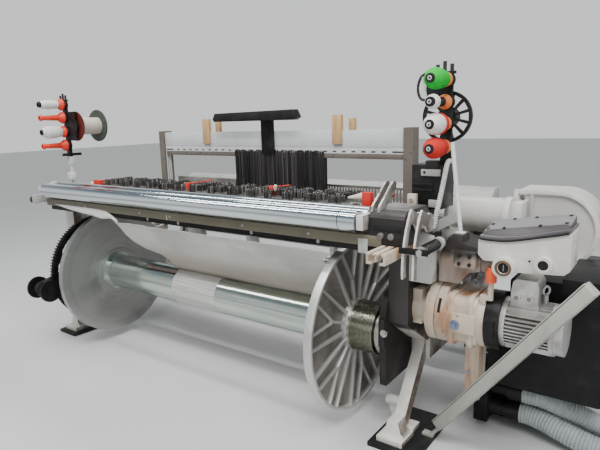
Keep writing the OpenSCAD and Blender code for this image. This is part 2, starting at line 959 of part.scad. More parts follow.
// White cast side cover with a rounded end, a rib and a rim
module side_cover() {
    color([0.93, 0.92, 0.88])
        difference() {
            union() {
                along_y(400, 640)
                    union() {
                        translate([1590, 790])
                            square([170, 270]);
                        translate([1760, 900])
                            circle(160);
                        translate([1590, 740])
                            square([200, 120]);
                    }
                along_y(388, 400)
                    difference() {
                        union() {
                            translate([1760, 900])
                                circle(168);
                            translate([1582, 732])
                                square([178, 336]);
                        }
                        translate([1760, 900])
                            circle(150);
                        translate([1600, 750])
                            square([160, 300]);
                    }
                block([1650, 390, 800], [1664, 400, 1050]);
            }
            rod_y(387, 430, 1614, 1030, 13);
        }
}

module shaft_housing() {
    color([0.88, 0.87, 0.84])
        union() {
            rod_x(1330, 1604, 300, 960, 78);
            rod_x(1330, 1350, 300, 960, 88);
            rod_x(1576, 1604, 300, 960, 86);
            block([right_out, 240, 852], [1400, 360, 900]);
            block([1602, 290, 900], [1640, 400, 1020]);
        }
}

module black_covers() {
    color([0.06, 0.06, 0.07])
        union() {
            along_y(170, 700)
                union() {
                    round_rect([1560, 240], [cover_right, 520], 20);
                    round_rect([1640, 500], [cover_right, 732], 20);
                }
            block([right_out, 470, 380], [1570, 660, 500]);
            block([1900, 40, 700], [1990, 171, 732]);
            block([1500, 330, 0], [1790, 700, 241]);
            block([1500, 190, 30], [1560, 331, 300]);
            block([1559, 190, 242], [1561, 331, 300]);
            block([1700, 404, 731], [1790, 636, 740]);
        }
    color([0.6, 0.57, 0.6])
        block([1860, 30, 732], [cover_right, 380, 790]);
}

// Slanted grey duct with a dark slit along its upper edge
duct_low = [1436, -29, 66];
duct_high = [2004, -203, 822];
module cable_duct() {
    run = duct_high - duct_low;
    flat = norm([run[0], run[1]]);
    length = norm(run);
    color([0.6, 0.6, 0.54])
        union() {
            translate(duct_low)
                rotate([0, 0, atan2(run[1], run[0])])
                    rotate([0, -atan2(run[2], flat), 0])
                        difference() {
                            translate([0, -22, 0])
                                cube([length, 44, 50]);
                            translate([-1, -23, 43])
                                cube([length + 2, 14, 3]);
                        }
            along_y(duct_low[1] - 16, duct_low[1] + 16)
                polygon([[1352, pad_t], [1400, pad_t], [1400, 32], [1462, 104], [1444, 104], [1384, 32],
                    [1352, 32]]);
            block([1930, -168, 755], [1958, 30, 785]);
        }
}

// Suction hoses: black connectors, two grey tubes and the cuffs at their far ends
hose_r = 46;
upper_route = [[1700, 250, 190], [1740, 250, 190], [1790, 256, 183], [1850, 272, 160],
    [1915, 295, 128], [1980, 321, 94], [2045, 352, 66], [2105, 398, 52], [2154, 452, 48],
    [2194, 516, 48], [2222, 586, 48], [2237, 660, 48], [2240, 730, 48], [2240, 800, 48]];
lower_route = [[1690, 250, 92], [1730, 250, 92], [1790, 240, 86], [1855, 224, 74],
    [1925, 211, 62], [1995, 205, 53], [2065, 205, 48], [2135, 214, 48], [2202, 233, 48],
    [2266, 263, 48], [2324, 303, 48], [2374, 352, 48], [2414, 409, 48], [2442, 473, 48],
    [2457, 541, 48], [2460, 600, 48], [2460, 650, 48]];

function unit(v) = v / norm(v);

function way(route, i) =
    unit(route[min(i + 1, len(route) - 1)] - route[max(i - 1, 0)]);

function ring_at(c, d, r, n) =
    let (u = unit(cross(d, [0, 0, 1])), v = cross(u, d))
        [for (k = [0:n - 1]) c + r * (cos(360 * k / n) * u + sin(360 * k / n) * v)];

module tube(route, r, n) {
    last = len(route) - 1;
    points = [for (i = [0:last]) each ring_at(route[i], way(route, i), r, n)];
    sides = [for (i = [0:last - 1]) for (k = [0:n - 1])
        [i * n + k, i * n + (k + 1) % n, (i + 1) * n + (k + 1) % n, (i + 1) * n + k]];
    ends = [[for (k = [n - 1:-1:0]) k], [for (k = [0:n - 1]) last * n + k]];
    polyhedron(points, concat(sides, ends));
}

module hose_connectors() {
    color([0.08, 0.08, 0.08])
        for (p = [[1700, 190], [1690, 92]]) {
            rod_x(1560, p[0] - 59, 250, p[1], 34);
            rod_x(p[0] - 60, p[0], 250, p[1], hose_r + 2);
        }
}

module hose_upper() {
    color([0.62, 0.64, 0.66])
        tube(upper_route, hose_r, 12);
}

module hose_lower() {
    color([0.62, 0.64, 0.66])
        tube(lower_route, hose_r, 12);
}

module hose_cuffs() {
    color([0.08, 0.08, 0.08]) {
        rod_y(800, 870, 2240, 48, 47);
        rod_y(650, 720, 2460, 48, 47);
    }
}

// Warp stop motion: rails, end pieces and drop wires
module stop_motion_rails() {
    color([0.5, 0.5, 0.48])
        union() {
            for (i = [0:rail_count - 1])
                let (y = rail_y + i * rail_pitch)
                    block([rail_left, y - 3, rail_z], [rail_right, y + 3, rail_z + 26]);
            for (x = [rail_left - 12, rail_right])
                block([x, rail_y - 20, rail_z - 40], [x + 12, rail_y + rail_pitch * rail_count, rail_z + 30]);
            block([left_in, 60, frame_top - 60], [rail_left, 120, frame_top - 20]);
            block([rail_left - 32, 60, frame_top - 60], [rail_left - 1, 120, rail_z - 39]);
            block([rail_right, 60, frame_top - 60], [right_in, 120, frame_top - 20]);
            block([rail_right + 1, 60, frame_top - 60], [rail_right + 32, 120, rail_z - 39]);
        }
}

// Each block is a bunch of drop wires hanging on its rail
module drop_wires() {
    bunches = 14;
    color([0.2, 0.19, 0.18])
        for (i = [0:rail_count - 1])
            for (k = [0:bunches - 1])
                let (w = 70 + 24 * sin(k * 97 + i * 61),
                        x = rail_left + 60 + k * 136 + 16 * sin(k * 53 + i * 131))
                    along_x(x, x + w)
                        translate([rail_y + i * rail_pitch, rail_z + 26 + seat_gap])
                            difference() {
                                translate([-6, 34 - drop_len])
                                    square([12, drop_len]);
                                translate([-3 - seat_gap, -60])
                                    square([6 + 2 * seat_gap, 60]);
                            }
}

module stop_motion_ends() {
    end_low = rail_y - 48;
    end_high = rail_y - 20;
    far_end = rail_y + rail_pitch * rail_count;
    color([0.85, 0.15, 0.15]) {
        block([rail_left - 10, end_low, rail_z - 12], [rail_left + 52, end_high, rail_z + 55]);
        block([rail_right + 1, end_low, rail_z + 17], [rail_right + 44, end_high, rail_z + 86]);
        block([rail_right + 16, end_high - 1, rail_z + 34], [rail_right + 34, far_end, rail_z + 50]);
        block([rail_left - 10, end_high - 1, rail_z + 34], [rail_left + 4, far_end, rail_z + 48]);
        block([rail_right + 2, end_high - 18, rail_z - 20], [rail_right + 11, end_high, rail_z + 18]);
    }
}

// Slack leader cloth between the cross beam and the beam, its left end turned up over the cross beam's face
module leader_cloth() {
    sheet_t = 3;
    wrap_r = barrel_d / 2 + 0.4;
    color([0.85, 0.84, 0.8])
        union() {
            intersection() {
                along_x(-560, 1015)
                    polygon(concat([[-241, 846], [-235, 850], [-229, 842], [-196, 764], [-146, 690], [-84, 622]],
                        arc_pts(0, beam_z, wrap_r + sheet_t, 102, 20, 12),
                        arc_pts(0, beam_z, wrap_r, 20, 106, 12),
                        [[-88, 620], [-150, 687], [-199, 762], [-238, 838]]));
                along_y(-260, 200)
                    polygon([[-500, 860], [-462, 835], [-411, 743], [-361, 700], [-275, 676], [-200, 615],
                        [-215, 400], [950, 400], [950, 640], [968, 700], [968, 802], [1015, 824], [1015, 860]]);
            }
            along_y(-237, -230 - seat_gap)
                polygon([[-1092, 906], [-688, 907], [-556, 901], [-491, 876], [-440, 850], [-470, 843],
                    [-512, 860], [-604, 852], [-694, 864], [-801, 869], [-966, 885]]);
        }
}

// Selvedge creels: pole, plate and clamp arms
left_bob_x = left_in - 130;
right_bob_x = 1375;
left_spool_x = left_in - 48;
right_spool_x = 1369;
left_creel_y = -30;
right_creel_y = 80;
left_heights = [1270, 1360, 1452, 1537];
right_heights = [1270, 1364, 1450, 1538];
spool_z = 1394;
wheel_z = 1390;

module creel_head(x, y, heights) {
    top = heights[3];
    along_y(y + 16, y + 28)
        union() {
            translate([x - 24, heights[0] - 75])
                square([48, top - heights[0] + 100]);
            for (z = heights)
                translate([x, z])
                    circle(32);
        }
    for (z = heights) {
        rod_y(y, y + 16, x, z, 30);
        rod_y(y - bobbin_len + 12, y, x, z, 6);
    }
    for (i = [0:2])
        block([x - 50 + 30 * i, y + 18, top + 28], [x - 36 + 30 * i, y + 26, top + 62 + 12 * (i % 2)]);
    block([x - 54, y + 16, top + 22], [x + 34, y + 28, top + 34]);
}

module right_creel() {
    plate_y = right_creel_y + 16;
    color([0.15, 0.15, 0.16])
        union() {
            creel_head(right_bob_x, right_creel_y, right_heights);
            rod_y(plate_y + 1, right_creel_y + 96, right_spool_x, wheel_z, 8);
            block([1222, 60, frame_top], [1308, 200, 1011]);
            block([1203, 60, 1010], [1376, 200, 1195]);
            block([1353, plate_y, 1194], [1372, plate_y + 12, 1240]);
            block([1233, plate_y, 1461], [1292, plate_y + 12, 1574]);
            block([1291, plate_y, 1480], [1352, plate_y + 12, 1512]);
        }
    color([0.9, 0.9, 0.92])
        translate([1490, -20, 936])
            union() {
                rotate([0, -7, 0])
                    translate([0, 0, 1])
                        cylinder(h = 359, r = 8);
                translate([-18, -16, 0])
                    cube([36, 32, 6]);
            }
}

module left_creel() {
    pole_y = left_creel_y + 25;
    plate_y = left_creel_y + 16;
    color([0.15, 0.15, 0.16])
        union() {
            creel_head(left_bob_x, left_creel_y, left_heights);
            rod_y(plate_y + 1, left_creel_y + 250, left_spool_x, spool_z, 8);
            along_y(plate_y, plate_y + 12)
                union() {
                    translate([left_spool_x, spool_z])
                        circle(46);
                    translate([left_bob_x, 1300])
                        square([left_spool_x - left_bob_x + 24, 190]);
                    for (z = [1306:24:1480])
                        translate([left_spool_x + 23, z])
                            square([10, 10]);
                }
            rod_z(frame_top, 1212, left_bob_x, pole_y, 11);
            block([left_bob_x - 15, left_creel_y - 26, 1198], [left_bob_x + 15, left_creel_y + 100, 1216]);
            block([left_bob_x - 20, pole_y - 16, 1142], [left_bob_x + 20, pole_y + 16, 1192]);
            rod_z(1036, 1084, left_bob_x, pole_y, 32);
            block([left_bob_x - 20, pole_y - 14, frame_top - 20], [left_out, pole_y + 40, frame_top]);
        }
}

// A bobbin on its tapered core, with a yarn body of the given radius or none
module bobbin(x, y, z, yarn_r, base_r) {
    translate([x, y, z])
        rotate([90, 0, 0])
            difference() {
                union() {
                    cylinder(h = 12, r = base_r);
                    translate([0, 0, 12])
                        cylinder(h = 26, r1 = base_r, r2 = 20);
                    cylinder(h = bobbin_len, r1 = 20, r2 = 12);
                    if (yarn_r > 0) {
                        translate([0, 0, 22])
                            cylinder(h = 72, r1 = 0.74 * yarn_r, r2 = yarn_r);
                        translate([0, 0, 94])
                            cylinder(h = 26, r = yarn_r);
                        translate([0, 0, 120])
                            cylinder(h = 40, r1 = yarn_r, r2 = 18);
                    }
                }
                translate([0, 0, -1])
                    cylinder(h = bobbin_len + 2, r = 6.3);
            }
}

module bobbins() {
    right_yarn = [bobbin_d / 2, bobbin_d / 2, 0, bobbin_d / 2];
    left_yarn = [0, bobbin_d / 2, 0, bobbin_d / 2 - 13];
    color([0.9, 0.15, 0.12])
        for (i = [0:3]) {
            bobbin(right_bob_x, right_creel_y, right_heights[i], right_yarn[i], 30);
            bobbin(left_bob_x, left_creel_y, left_heights[i], left_yarn[i], 38);
        }
}

// A spoked disc of the wheel or spool
module spoked_disc(d, t, spokes) {
    linear_extrude(t)
        difference() {
            circle(d / 2);
            for (i = [0:spokes - 1])
                rotate(i * 360 / spokes)
                    polygon([[36, -5], [36, 5], [d / 2 - 14, 18], [d / 2 - 14, -18]]);
        }
}

module right_spool() {
    color([0.08, 0.07, 0.07])
        translate([right_spool_x, right_creel_y + 34, wheel_z])
            rotate([-90, 0, 0])
                difference() {
                    union() {
                        spoked_disc(wheel_d, 14, 12);
                        cylinder(h = 52, r = 40);
                    }
                    translate([0, 0, -1])
                        cylinder(h = 54, r = 8 + run_gap);
                }
}

module left_spool() {
    spool_len = 172;
    color([0.8, 0.75, 0.65])
        translate([left_spool_x, left_creel_y + 34, spool_z])
            rotate([-90, 0, 0])
                difference() {
                    union() {
                        cylinder(h = 10, r = spool_d / 2 - 10);
                        cylinder(h = spool_len, r = 56);
                        translate([0, 0, spool_len - 14])
                            cylinder(h = 14, r = spool_d / 2);
                    }
                    translate([0, 0, -1])
                        cylinder(h = spool_len + 2, r = 8 + run_gap);
                }
}

cable_route = [[1345.3, -12, 938], [1358, -12, 938], [1374, -11, 950], [1382, -8, 1000], [1390, 0, 1050],
    [1396, 14, 1104], [1398, 34, 1156], [1397, 54, 1192], [1396, 76, 1210], [1396, 95.7, 1210]];
module wrapped_cable() {
    color([0.8, 0.8, 0.78])
        tube(cable_route, 11, 10);
}

// Heald frames: slats, heald bars, side braces and the bunched healds
module heald_frame(i) {
    y0 = heald_y + i * heald_pitch;
    brace = 34;
    hook_w = 18;
    hook_pitch = 64;
    span = heald_w - 2 * brace;
    inner = heald_left + brace;
    hooks = floor((span - hook_w - 2 * hook_pitch / 3) / hook_pitch);
    hook_left = inner + (span - hook_w - hooks * hook_pitch) / 2;
    color([0.8, 0.81, 0.81])
        union() {
            along_y(y0, y0 + heald_t)
                union() {
                    for (z = [slot_z, low_z])
                        translate([inner, z])
                            square([span, slat_h]);
                    for (x = [heald_left, heald_right - brace])
                        translate([x, low_z - 10])
                            square([brace, heald_top - low_z + 10]);
                    for (z = [bar_z, low_z + slat_h + 30])
                        translate([inner, z])
                            square([span, 22]);
                    for (k = [0:hooks]) {
                        translate([hook_left + k * hook_pitch, bar_z + 22])
                            square([hook_w, slot_z - bar_z - 22]);
                        translate([hook_left + k * hook_pitch, low_z + slat_h])
                            square([hook_w, 30]);
                    }
                }
            for (k = [0:35])
                let (x = heald_mid - 269 + 20 * k)
                    block([x, y0 + 1, low_z + slat_h + 50], [x + 12, y0 + heald_t - 1, bar_z + 1]);
        }
}

module heald_frame_1() {
    heald_frame(0);
}

module heald_frame_2() {
    heald_frame(1);
}

module heald_frame_3() {
    heald_frame(2);
}

// Tan wooden blocks on the first heald frame
module frame_spacers() {
    color([0.72, 0.52, 0.3])
        for (x = [-556, 505])
            difference() {
                block([x, heald_y - 14, 1250], [x + 62, heald_y + heald_t, 1418]);
                block([x - 1, heald_y, 1240], [x + 63, heald_y + heald_t + 1, heald_top]);
            }
}

// Black bevelled bar on a post, hooked on the first heald frame
module top_bar() {
    color([0.05, 0.05, 0.05])
        union() {
            along_y(heald_y - 60, heald_y - 4)
                polygon([[-410, 1412], [-396, 1396], [256, 1396], [284, 1412], [260, 1458], [-388, 1450]]);
            block([-30, heald_y - 16, 1190], [68, heald_y, 1400]);
        }
}

// Sley: rocking shaft, swords and sley beam
module sley() {
    color([0.55, 0.56, 0.56])
        union() {
            rod_x(left_out, right_out, rock_y, rock_z, rock_d / 2);
            for (x = [-900, -300, 400, 1050])
                along_x(x, x + 30)
                    polygon([[rock_y - 60, rock_z], [rock_y - 30, rock_z - 50], [rock_y + 30, rock_z - 50],
                        [rock_y + 60, rock_z], [775, 821], [695, 821]]);
            along_x(left_in + side_gap, right_in - side_gap)
                polygon([[690, 820], [775, 820], [775, 868], [750, 888], [reed_y + 12, 888], [reed_y + 12, 880],
                    [690, 880]]);
        }
}

module reed() {
    reed_w = heald_w - 62;
    gap = reed_w / reed_gaps;
    color([0.6, 0.6, 0.58])
        difference() {
            block([-reed_w / 2 - 12, reed_y, 880], [reed_w / 2 + 12, reed_y + 12, 880 + reed_h]);
            for (i = [0:reed_gaps - 1])
                block([-reed_w / 2 + (i + 0.3) * gap, reed_y - 1, 896],
                    [-reed_w / 2 + (i + 0.85) * gap, reed_y + 13, 866 + reed_h]);
        }
}

module journal_roller(y, z, d) {
    rod_x(left_in + side_gap, right_in - side_gap, y, z, d / 2);
    rod_x(left_out, right_out, y, z, journal_d / 2);
}

module take_up_roller() {
    color([0.3, 0.3, 0.3])
        journal_roller(take_y, take_z, take_up_d);
}

module press_roller() {
    color([0.25, 0.25, 0.25])
        journal_roller(press_y, press_z, press_d);
}

module cloth_roller() {
    color([0.7, 0.71, 0.72])
        journal_roller(cloth_y, cloth_z, cloth_d);
}

module main_shaft() {
    color([0.6, 0.6, 0.6])
        union() {
            rod_x(left_out, right_out, main_y, main_z, main_d / 2);
            rod_x(left_in + 20, left_in + 60, main_y, main_z, 70);
            rod_x(right_in - 60, right_in - 20, main_y, main_z, 70);
        }
}

translate([-origin_x, -origin_y, 0]) {
    right_side_frame();
    left_side_frame();
    floor_pads();
    rear_cross_beam();
    lower_cross_tubes();
    breast_beam();
    harness_guides();
    beam_bearings();
    let_off_bracket();
    back_rest_bracket();
    head_block();
    profile_rail();
    lever_casting();
    bridge_casting();
    gearbox();
    adaptor_ring();
    motor();
    terminal_box();
    oil_cap();
    cream_housing();
    housing_lid();
    side_cover();
    shaft_housing();
    black_covers();
    cable_duct();
    hose_connectors();
    hose_upper();
    hose_lower();
    hose_cuffs();
    stop_motion_rails();
    drop_wires();
    stop_motion_ends();
    leader_cloth();
    right_creel();
    left_creel();
    bobbins();
    wrapped_cable();
    heald_frame_1();
    heald_frame_2();
    heald_frame_3();
    frame_spacers();
    top_bar();
    sley();
    reed();
    take_up_roller();
    press_roller();
    cloth_roller();
    beam_barrel();
    left_flange();
    right_flange();
    grooved_hub();
    ring_gear();
    let_off_pinion();
    front_back_roller();
    rear_back_roller();
    back_rest_arms();
    tension_spring();
    right_spool();
    left_spool();
    main_shaft();
}
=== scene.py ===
import json
import math
import random

import bmesh
import bpy
from mathutils import Matrix, Vector
from mathutils.bvhtree import BVHTree

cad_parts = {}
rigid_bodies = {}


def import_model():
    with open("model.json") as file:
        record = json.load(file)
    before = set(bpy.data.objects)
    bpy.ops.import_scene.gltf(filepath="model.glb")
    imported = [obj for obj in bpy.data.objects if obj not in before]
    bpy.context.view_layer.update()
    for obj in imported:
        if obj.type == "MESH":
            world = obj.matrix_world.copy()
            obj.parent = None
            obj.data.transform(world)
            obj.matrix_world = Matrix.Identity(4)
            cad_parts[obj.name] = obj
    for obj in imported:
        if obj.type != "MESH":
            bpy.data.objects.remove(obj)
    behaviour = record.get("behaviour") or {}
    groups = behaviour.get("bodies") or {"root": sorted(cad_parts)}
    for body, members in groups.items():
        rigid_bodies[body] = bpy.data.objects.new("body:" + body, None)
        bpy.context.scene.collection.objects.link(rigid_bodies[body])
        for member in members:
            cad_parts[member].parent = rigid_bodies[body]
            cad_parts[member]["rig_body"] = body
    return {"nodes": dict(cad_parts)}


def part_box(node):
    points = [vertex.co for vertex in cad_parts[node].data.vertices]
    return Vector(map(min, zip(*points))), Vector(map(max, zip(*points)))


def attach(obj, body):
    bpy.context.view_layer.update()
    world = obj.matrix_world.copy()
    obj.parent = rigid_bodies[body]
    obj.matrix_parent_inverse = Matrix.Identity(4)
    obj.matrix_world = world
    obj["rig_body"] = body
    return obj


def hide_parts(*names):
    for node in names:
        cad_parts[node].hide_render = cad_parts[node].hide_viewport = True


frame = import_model()

bl_info = {
    "name": "Power loom looks",
    "version": (1, 0, 0),
    "blender": (4, 5, 0),
    "location": "View3D > Sidebar > Loom",
    "description": "Finishes and fine pieces of a power loom seen from its warp side",
    "category": "Object",
}

# Places are given in metres from the loom's own zero: the middle of its width, the warp
# beam's axis and the floor. The frame says where that zero lies.
BEAM_SHIFT = 0.080
SEED = 7
SHARP_ANGLE = 40.0  # degrees between faces from which a CAD edge is rounded
left_low, left_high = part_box("left_flange")
right_low, right_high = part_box("right_flange")
ZERO_X = (left_low.x + right_high.x) / 2 - BEAM_SHIFT
ZERO_Y = (left_low.y + left_high.y) / 2
BEAM_Z = (left_low.z + left_high.z) / 2
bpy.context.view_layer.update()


def at(x, y, z):
    """A place in the row's frame from one in the loom's own."""
    return Vector((ZERO_X + x, ZERO_Y + y, z))


# Mesh work


def round_edges(bm, edges, width, segments=2):
    bmesh.ops.bevel(
        bm, geom=list(edges), offset=width, segments=segments, profile=0.5, affect="EDGES",
        clamp_overlap=True, material=-1,
    )


def add_plate(bm, corners, move):
    """A flat plate: a face through the corners, drawn out along move."""
    face = bm.faces.new([bm.verts.new(at(*corner)) for corner in corners])
    out = bmesh.ops.extrude_face_region(bm, geom=[face])["geom"]
    bmesh.ops.translate(bm, vec=move, verts=[v for v in out if isinstance(v, bmesh.types.BMVert)])


def add_skin(bm, rings):
    """Joins rings of corners to a closed tube."""
    for a, b in zip(rings, rings[1:]):
        for k in range(len(a)):
            n = (k + 1) % len(a)
            bm.faces.new((a[k], a[n], b[n], b[k]))
    bm.faces.new(list(reversed(rings[0])))
    bm.faces.new(rings[-1])


def add_block(bm, low, high, bevel=0.0, segments=2):
    """A block between two corners, with rounded edges."""
    low, high = Vector(low), Vector(high)
    made = bmesh.ops.create_cube(bm, size=1.0)["verts"]
    bmesh.ops.scale(bm, vec=high - low, verts=made)
    bmesh.ops.translate(bm, vec=(low + high) / 2, verts=made)
    if bevel:
        round_edges(bm, {e for v in made for e in v.link_edges}, bevel, segments)


def add_rod(bm, start, end, radius, segments=24, bevel=0.0):
    """A round bar between two points."""
    start, end = Vector(start), Vector(end)
    run = end - start
    turn = run.to_track_quat("Z", "Y").to_matrix().to_4x4()
    made = bmesh.ops.create_cone(
        bm, cap_ends=True, cap_tris=False, segments=segments, radius1=radius,
        radius2=radius, depth=run.length,
        matrix=Matrix.Translation((start + end) / 2) @ turn,
    )["verts"]
    if bevel:
        rims = {e for v in made for e in v.link_edges if len(v.link_edges) == 3}
        rims = [e for e in rims if any(len(f.verts) > 4 for f in e.link_faces)]
        round_edges(bm, rims, bevel)


def add_turned(bm, origin, axis, profile, segments=48):
    """A turned shape: profile holds (distance along the axis, radius) from one end to the other."""
    axis = Vector(axis).normalized()
    side = axis.orthogonal().normalized()
    verts = [bm.verts.new(Vector(origin) + axis * a + side * r) for a, r in profile]
    edges = [bm.edges.new(pair) for pair in zip(verts, verts[1:])]
    before = set(bm.faces)
    bmesh.ops.spin(
        bm, geom=verts + edges, cent=origin, axis=axis, angle=math.tau, steps=segments,
        use_merge=True,
    )
    made = [f for f in bm.faces if f not in before]
    bmesh.ops.remove_doubles(bm, verts=list({v for f in made for v in f.verts}), dist=1e-6)


def add_hex(bm, start, end, across):
    """A hexagon bolt head."""
    add_rod(bm, start, end, across / 2, segments=6, bevel=across * 0.04)


def add_tube(bm, points, radius_at, sides=16):
    """A tube along points; radius_at gives its radius at each point's index."""
    last = len(points) - 1
    rings = []
    for i, point in enumerate(points):
        way = (points[min(i + 1, last)] - points[max(i - 1, 0)]).normalized()
        side = way.cross(Vector((0, 0, 1)))
        if side.length < 0.05:
            side = way.cross(Vector((0, 1, 0)))
        side.normalize()
        up = side.cross(way).normalized()
        rings.append([
            bm.verts.new(point + (side * math.cos(t) + up * math.sin(t)) * radius_at(i))
            for t in [math.tau * k / sides for k in range(sides)]
        ])
    add_skin(bm, rings)


def add_sheet(bm, columns, rows, place):
    """A thin sheet of columns by rows faces; place gives each corner's point. Returns its area."""
    made = bmesh.ops.create_grid(bm, x_segments=columns, y_segments=rows, size=0.5)["verts"]
    for vert in made:
        column, row = round((vert.co.x + 0.5) * columns), round((vert.co.y + 0.5) * rows)
        vert.co = place(column, row)
    bm.normal_update()
    return sum(face.calc_area() for face in bm.faces)


def smooth_path(points, step):
    """Points close together on a smooth curve through the given ones."""
    points = [Vector(p) for p in points]
    ends = [points[0] * 2 - points[1]] + points + [points[-1] * 2 - points[-2]]
    out = []
    for i in range(1, len(ends) - 2):
        a, b, c, d = ends[i - 1:i + 3]
        count = max(2, int((c - b).length / step))
        for k in range(count):
            t = k / count
            out.append(
                (b * 2 + (c - a) * t + (a * 2 - b * 5 + c * 4 - d) * t ** 2
                 + (b * 3 - a - c * 3 + d) * t ** 3) / 2
            )
    out.append(points[-1])
    return out


def finish_piece(name, bm, finish, node, smooth=35.0, replaces=False, body=None):
    """Turns a bmesh into a piece riding on the node's body or on another.

    finish is one finish's name or a tuple of them. Where replaces is set, the piece stands for
    the node.
    """
    bmesh.ops.recalc_face_normals(bm, faces=bm.faces)
    mesh = bpy.data.meshes.new(name)
    bm.to_mesh(mesh)
    bm.free()
    mesh.shade_smooth()
    mesh.set_sharp_from_angle(angle=math.radians(smooth))
    piece = bpy.data.objects.new(name, mesh)
    bpy.context.scene.collection.objects.link(piece)
    for key in (finish,) if isinstance(finish, str) else finish:
        mesh.materials.append(FINISHES[key])
    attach(piece, body or frame["nodes"][node]["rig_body"])
    if replaces:
        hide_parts(node)
    return piece


def soften(node, finish, width=0.002, choose=None, reshape=None):
    """A copy of a CAD node with rounded edges, which stands for it.

    Where finish is a tuple, choose gives a face's place in it from the face's middle. reshape
    gives a corner's new place.
    """
    bm = bmesh.new()
    bm.from_mesh(frame["nodes"][node].data)
    bmesh.ops.remove_doubles(bm, verts=bm.verts, dist=1e-5)
    bmesh.ops.dissolve_limit(
        bm, angle_limit=math.radians(1.0), verts=bm.verts, edges=bm.edges,
    )
    sharp = [
        e for e in bm.edges
        if len(e.link_faces) == 2 and e.calc_face_angle(0.0) > math.radians(SHARP_ANGLE)
    ]
    if reshape:
        for vert in bm.verts:
            vert.co = at(*reshape(vert.co.x - ZERO_X, vert.co.y - ZERO_Y, vert.co.z))
    if choose:
        for face in bm.faces:
            middle = face.calc_center_median()
            face.material_index = choose(middle.x - ZERO_X, middle.y - ZERO_Y, middle.z)
    round_edges(bm, sharp, width)
    return finish_piece(node + "_cast", bm, finish, node, SHARP_ANGLE, True)


def add_sector(bm, x_low, x_high, r_low, r_high, y, z, start, sweep, steps=10):
    """A piece of a ring round an axis along X, between two angles."""
    angle = math.radians(start)
    out = Vector((0, math.cos(angle), math.sin(angle)))
    middle = at(0, y, z)
    corners = [(x_low, r_low), (x_high, r_low), (x_high, r_high), (x_low, r_high)]
    face = bm.faces.new([bm.verts.new(middle + Vector((x, 0, 0)) + out * r) for x, r in corners])
    bmesh.ops.spin(
        bm, geom=[face], cent=middle, axis=(1, 0, 0), angle=math.radians(sweep), steps=steps,
    )


def surface_below(node, x, y):
    """Where a plumb line at a place meets a CAD node from above."""
    bm = bmesh.new()
    bm.from_mesh(frame["nodes"][node].data)
    tree = BVHTree.FromBMesh(bm)
    bm.free()
    place, normal, _, _ = tree.ray_cast(at(x, y, 3.0), Vector((0, 0, -1)))
    if place is None:
        raise RuntimeError("nothing of " + node + " lies below")
    return place, normal


def dress(finish, *nodes):
    """Gives CAD nodes a finish."""
    for node in nodes:
        materials = frame["nodes"][node].data.materials
        materials.clear()
        materials.append(FINISHES[finish])


# Finishes


class Finish:
    """A material in the making: its shader and the nodes that feed it."""

    def __init__(self, name):
        self.material = bpy.data.materials.new(name)
        self.material.use_nodes = True
        self.tree = self.material.node_tree
        self.shader = self.tree.nodes["Principled BSDF"]
        self.place = self.tree.nodes.new("ShaderNodeTexCoord").outputs["Object"]

    def add(self, kind, **settings):
        made = self.tree.nodes.new(kind)
        for key, value in settings.items():
            setattr(made, key, value)
        return made

    def join(self, source, target):
        self.tree.links.new(source, target)

    def feed(self, socket, value):
        if isinstance(value, bpy.types.NodeSocket):
            self.join(value, socket)
        elif isinstance(value, (tuple, list)) and len(value) == 3 and socket.type == "RGBA":
            socket.default_value = (*value, 1.0)
        else:
            socket.default_value = value

    def stretched(self, scale):
        made = self.add("ShaderNodeMapping")
        made.inputs["Scale"].default_value = scale
        self.join(self.place, made.inputs["Vector"])
        return made.outputs["Vector"]

    def noise(self, scale, detail=4.0, rough=0.55, vector=None, distort=0.0):
        made = self.add("ShaderNodeTexNoise")
        self.join(vector or self.place, made.inputs["Vector"])
        for key, number in zip(("Scale", "Detail", "Roughness", "Distortion"),
                               (scale, detail, rough, distort)):
            made.inputs[key].default_value = number
        return made.outputs["Fac"]

    def cells(self, scale, vector):
        made = self.add("ShaderNodeTexVoronoi")
        self.join(vector, made.inputs["Vector"])
        made.inputs["Scale"].default_value = scale
        return made.outputs["Color"]

    def range(self, value, low, high, to_low=0.0, to_high=1.0, smooth=False):
        made = self.add("ShaderNodeMapRange")
        made.interpolation_type = "SMOOTHSTEP" if smooth else "LINEAR"
        self.feed(made.inputs["Value"], value)
        for key, number in zip(("From Min", "From Max", "To Min", "To Max"),
                               (low, high, to_low, to_high)):
            made.inputs[key].default_value = number
        return made.outputs["Result"]

    def maths(self, operation, a, b=0.0):
        made = self.add("ShaderNodeMath", operation=operation)
        self.feed(made.inputs[0], a)
        self.feed(made.inputs[1], b)
        return made.outputs["Value"]

    def mix(self, factor, a, b):
        made = self.add("ShaderNodeMix", data_type="RGBA")
        self.feed(made.inputs["Factor"], factor)
        self.feed(made.inputs[6], a)
        self.feed(made.inputs[7], b)
        return made.outputs[2]

    def product(self, a, b):
        return self.maths("MULTIPLY", a, b)

    def axes(self, vector=None):
        made = self.add("ShaderNodeSeparateXYZ")
        self.join(vector or self.place, made.inputs["Vector"])
        return made.outputs

    def facing(self):
        """The shares of the face's direction along X, Y and Z."""
        return self.axes(self.add("ShaderNodeNewGeometry").outputs["Normal"])

    def bump(self, height, strength, distance=0.001, normal=None):
        made = self.add("ShaderNodeBump")
        made.inputs["Strength"].default_value = strength
        made.inputs["Distance"].default_value = distance
        self.join(height, made.inputs["Height"])
        if normal is not None:
            self.join(normal, made.inputs["Normal"])
        return made.outputs["Normal"]

    def done(self, color=None, rough=None, metal=None, normal=None, **constants):
        for key, value in (("Base Color", color), ("Roughness", rough), ("Metallic", metal)):
            if value is not None:
                self.feed(self.shader.inputs[key], value)
        if normal is not None:
            self.join(normal, self.shader.inputs["Normal"])
        for key, value in constants.items():
            self.shader.inputs[key.replace("_", " ")].default_value = value
        return self.material


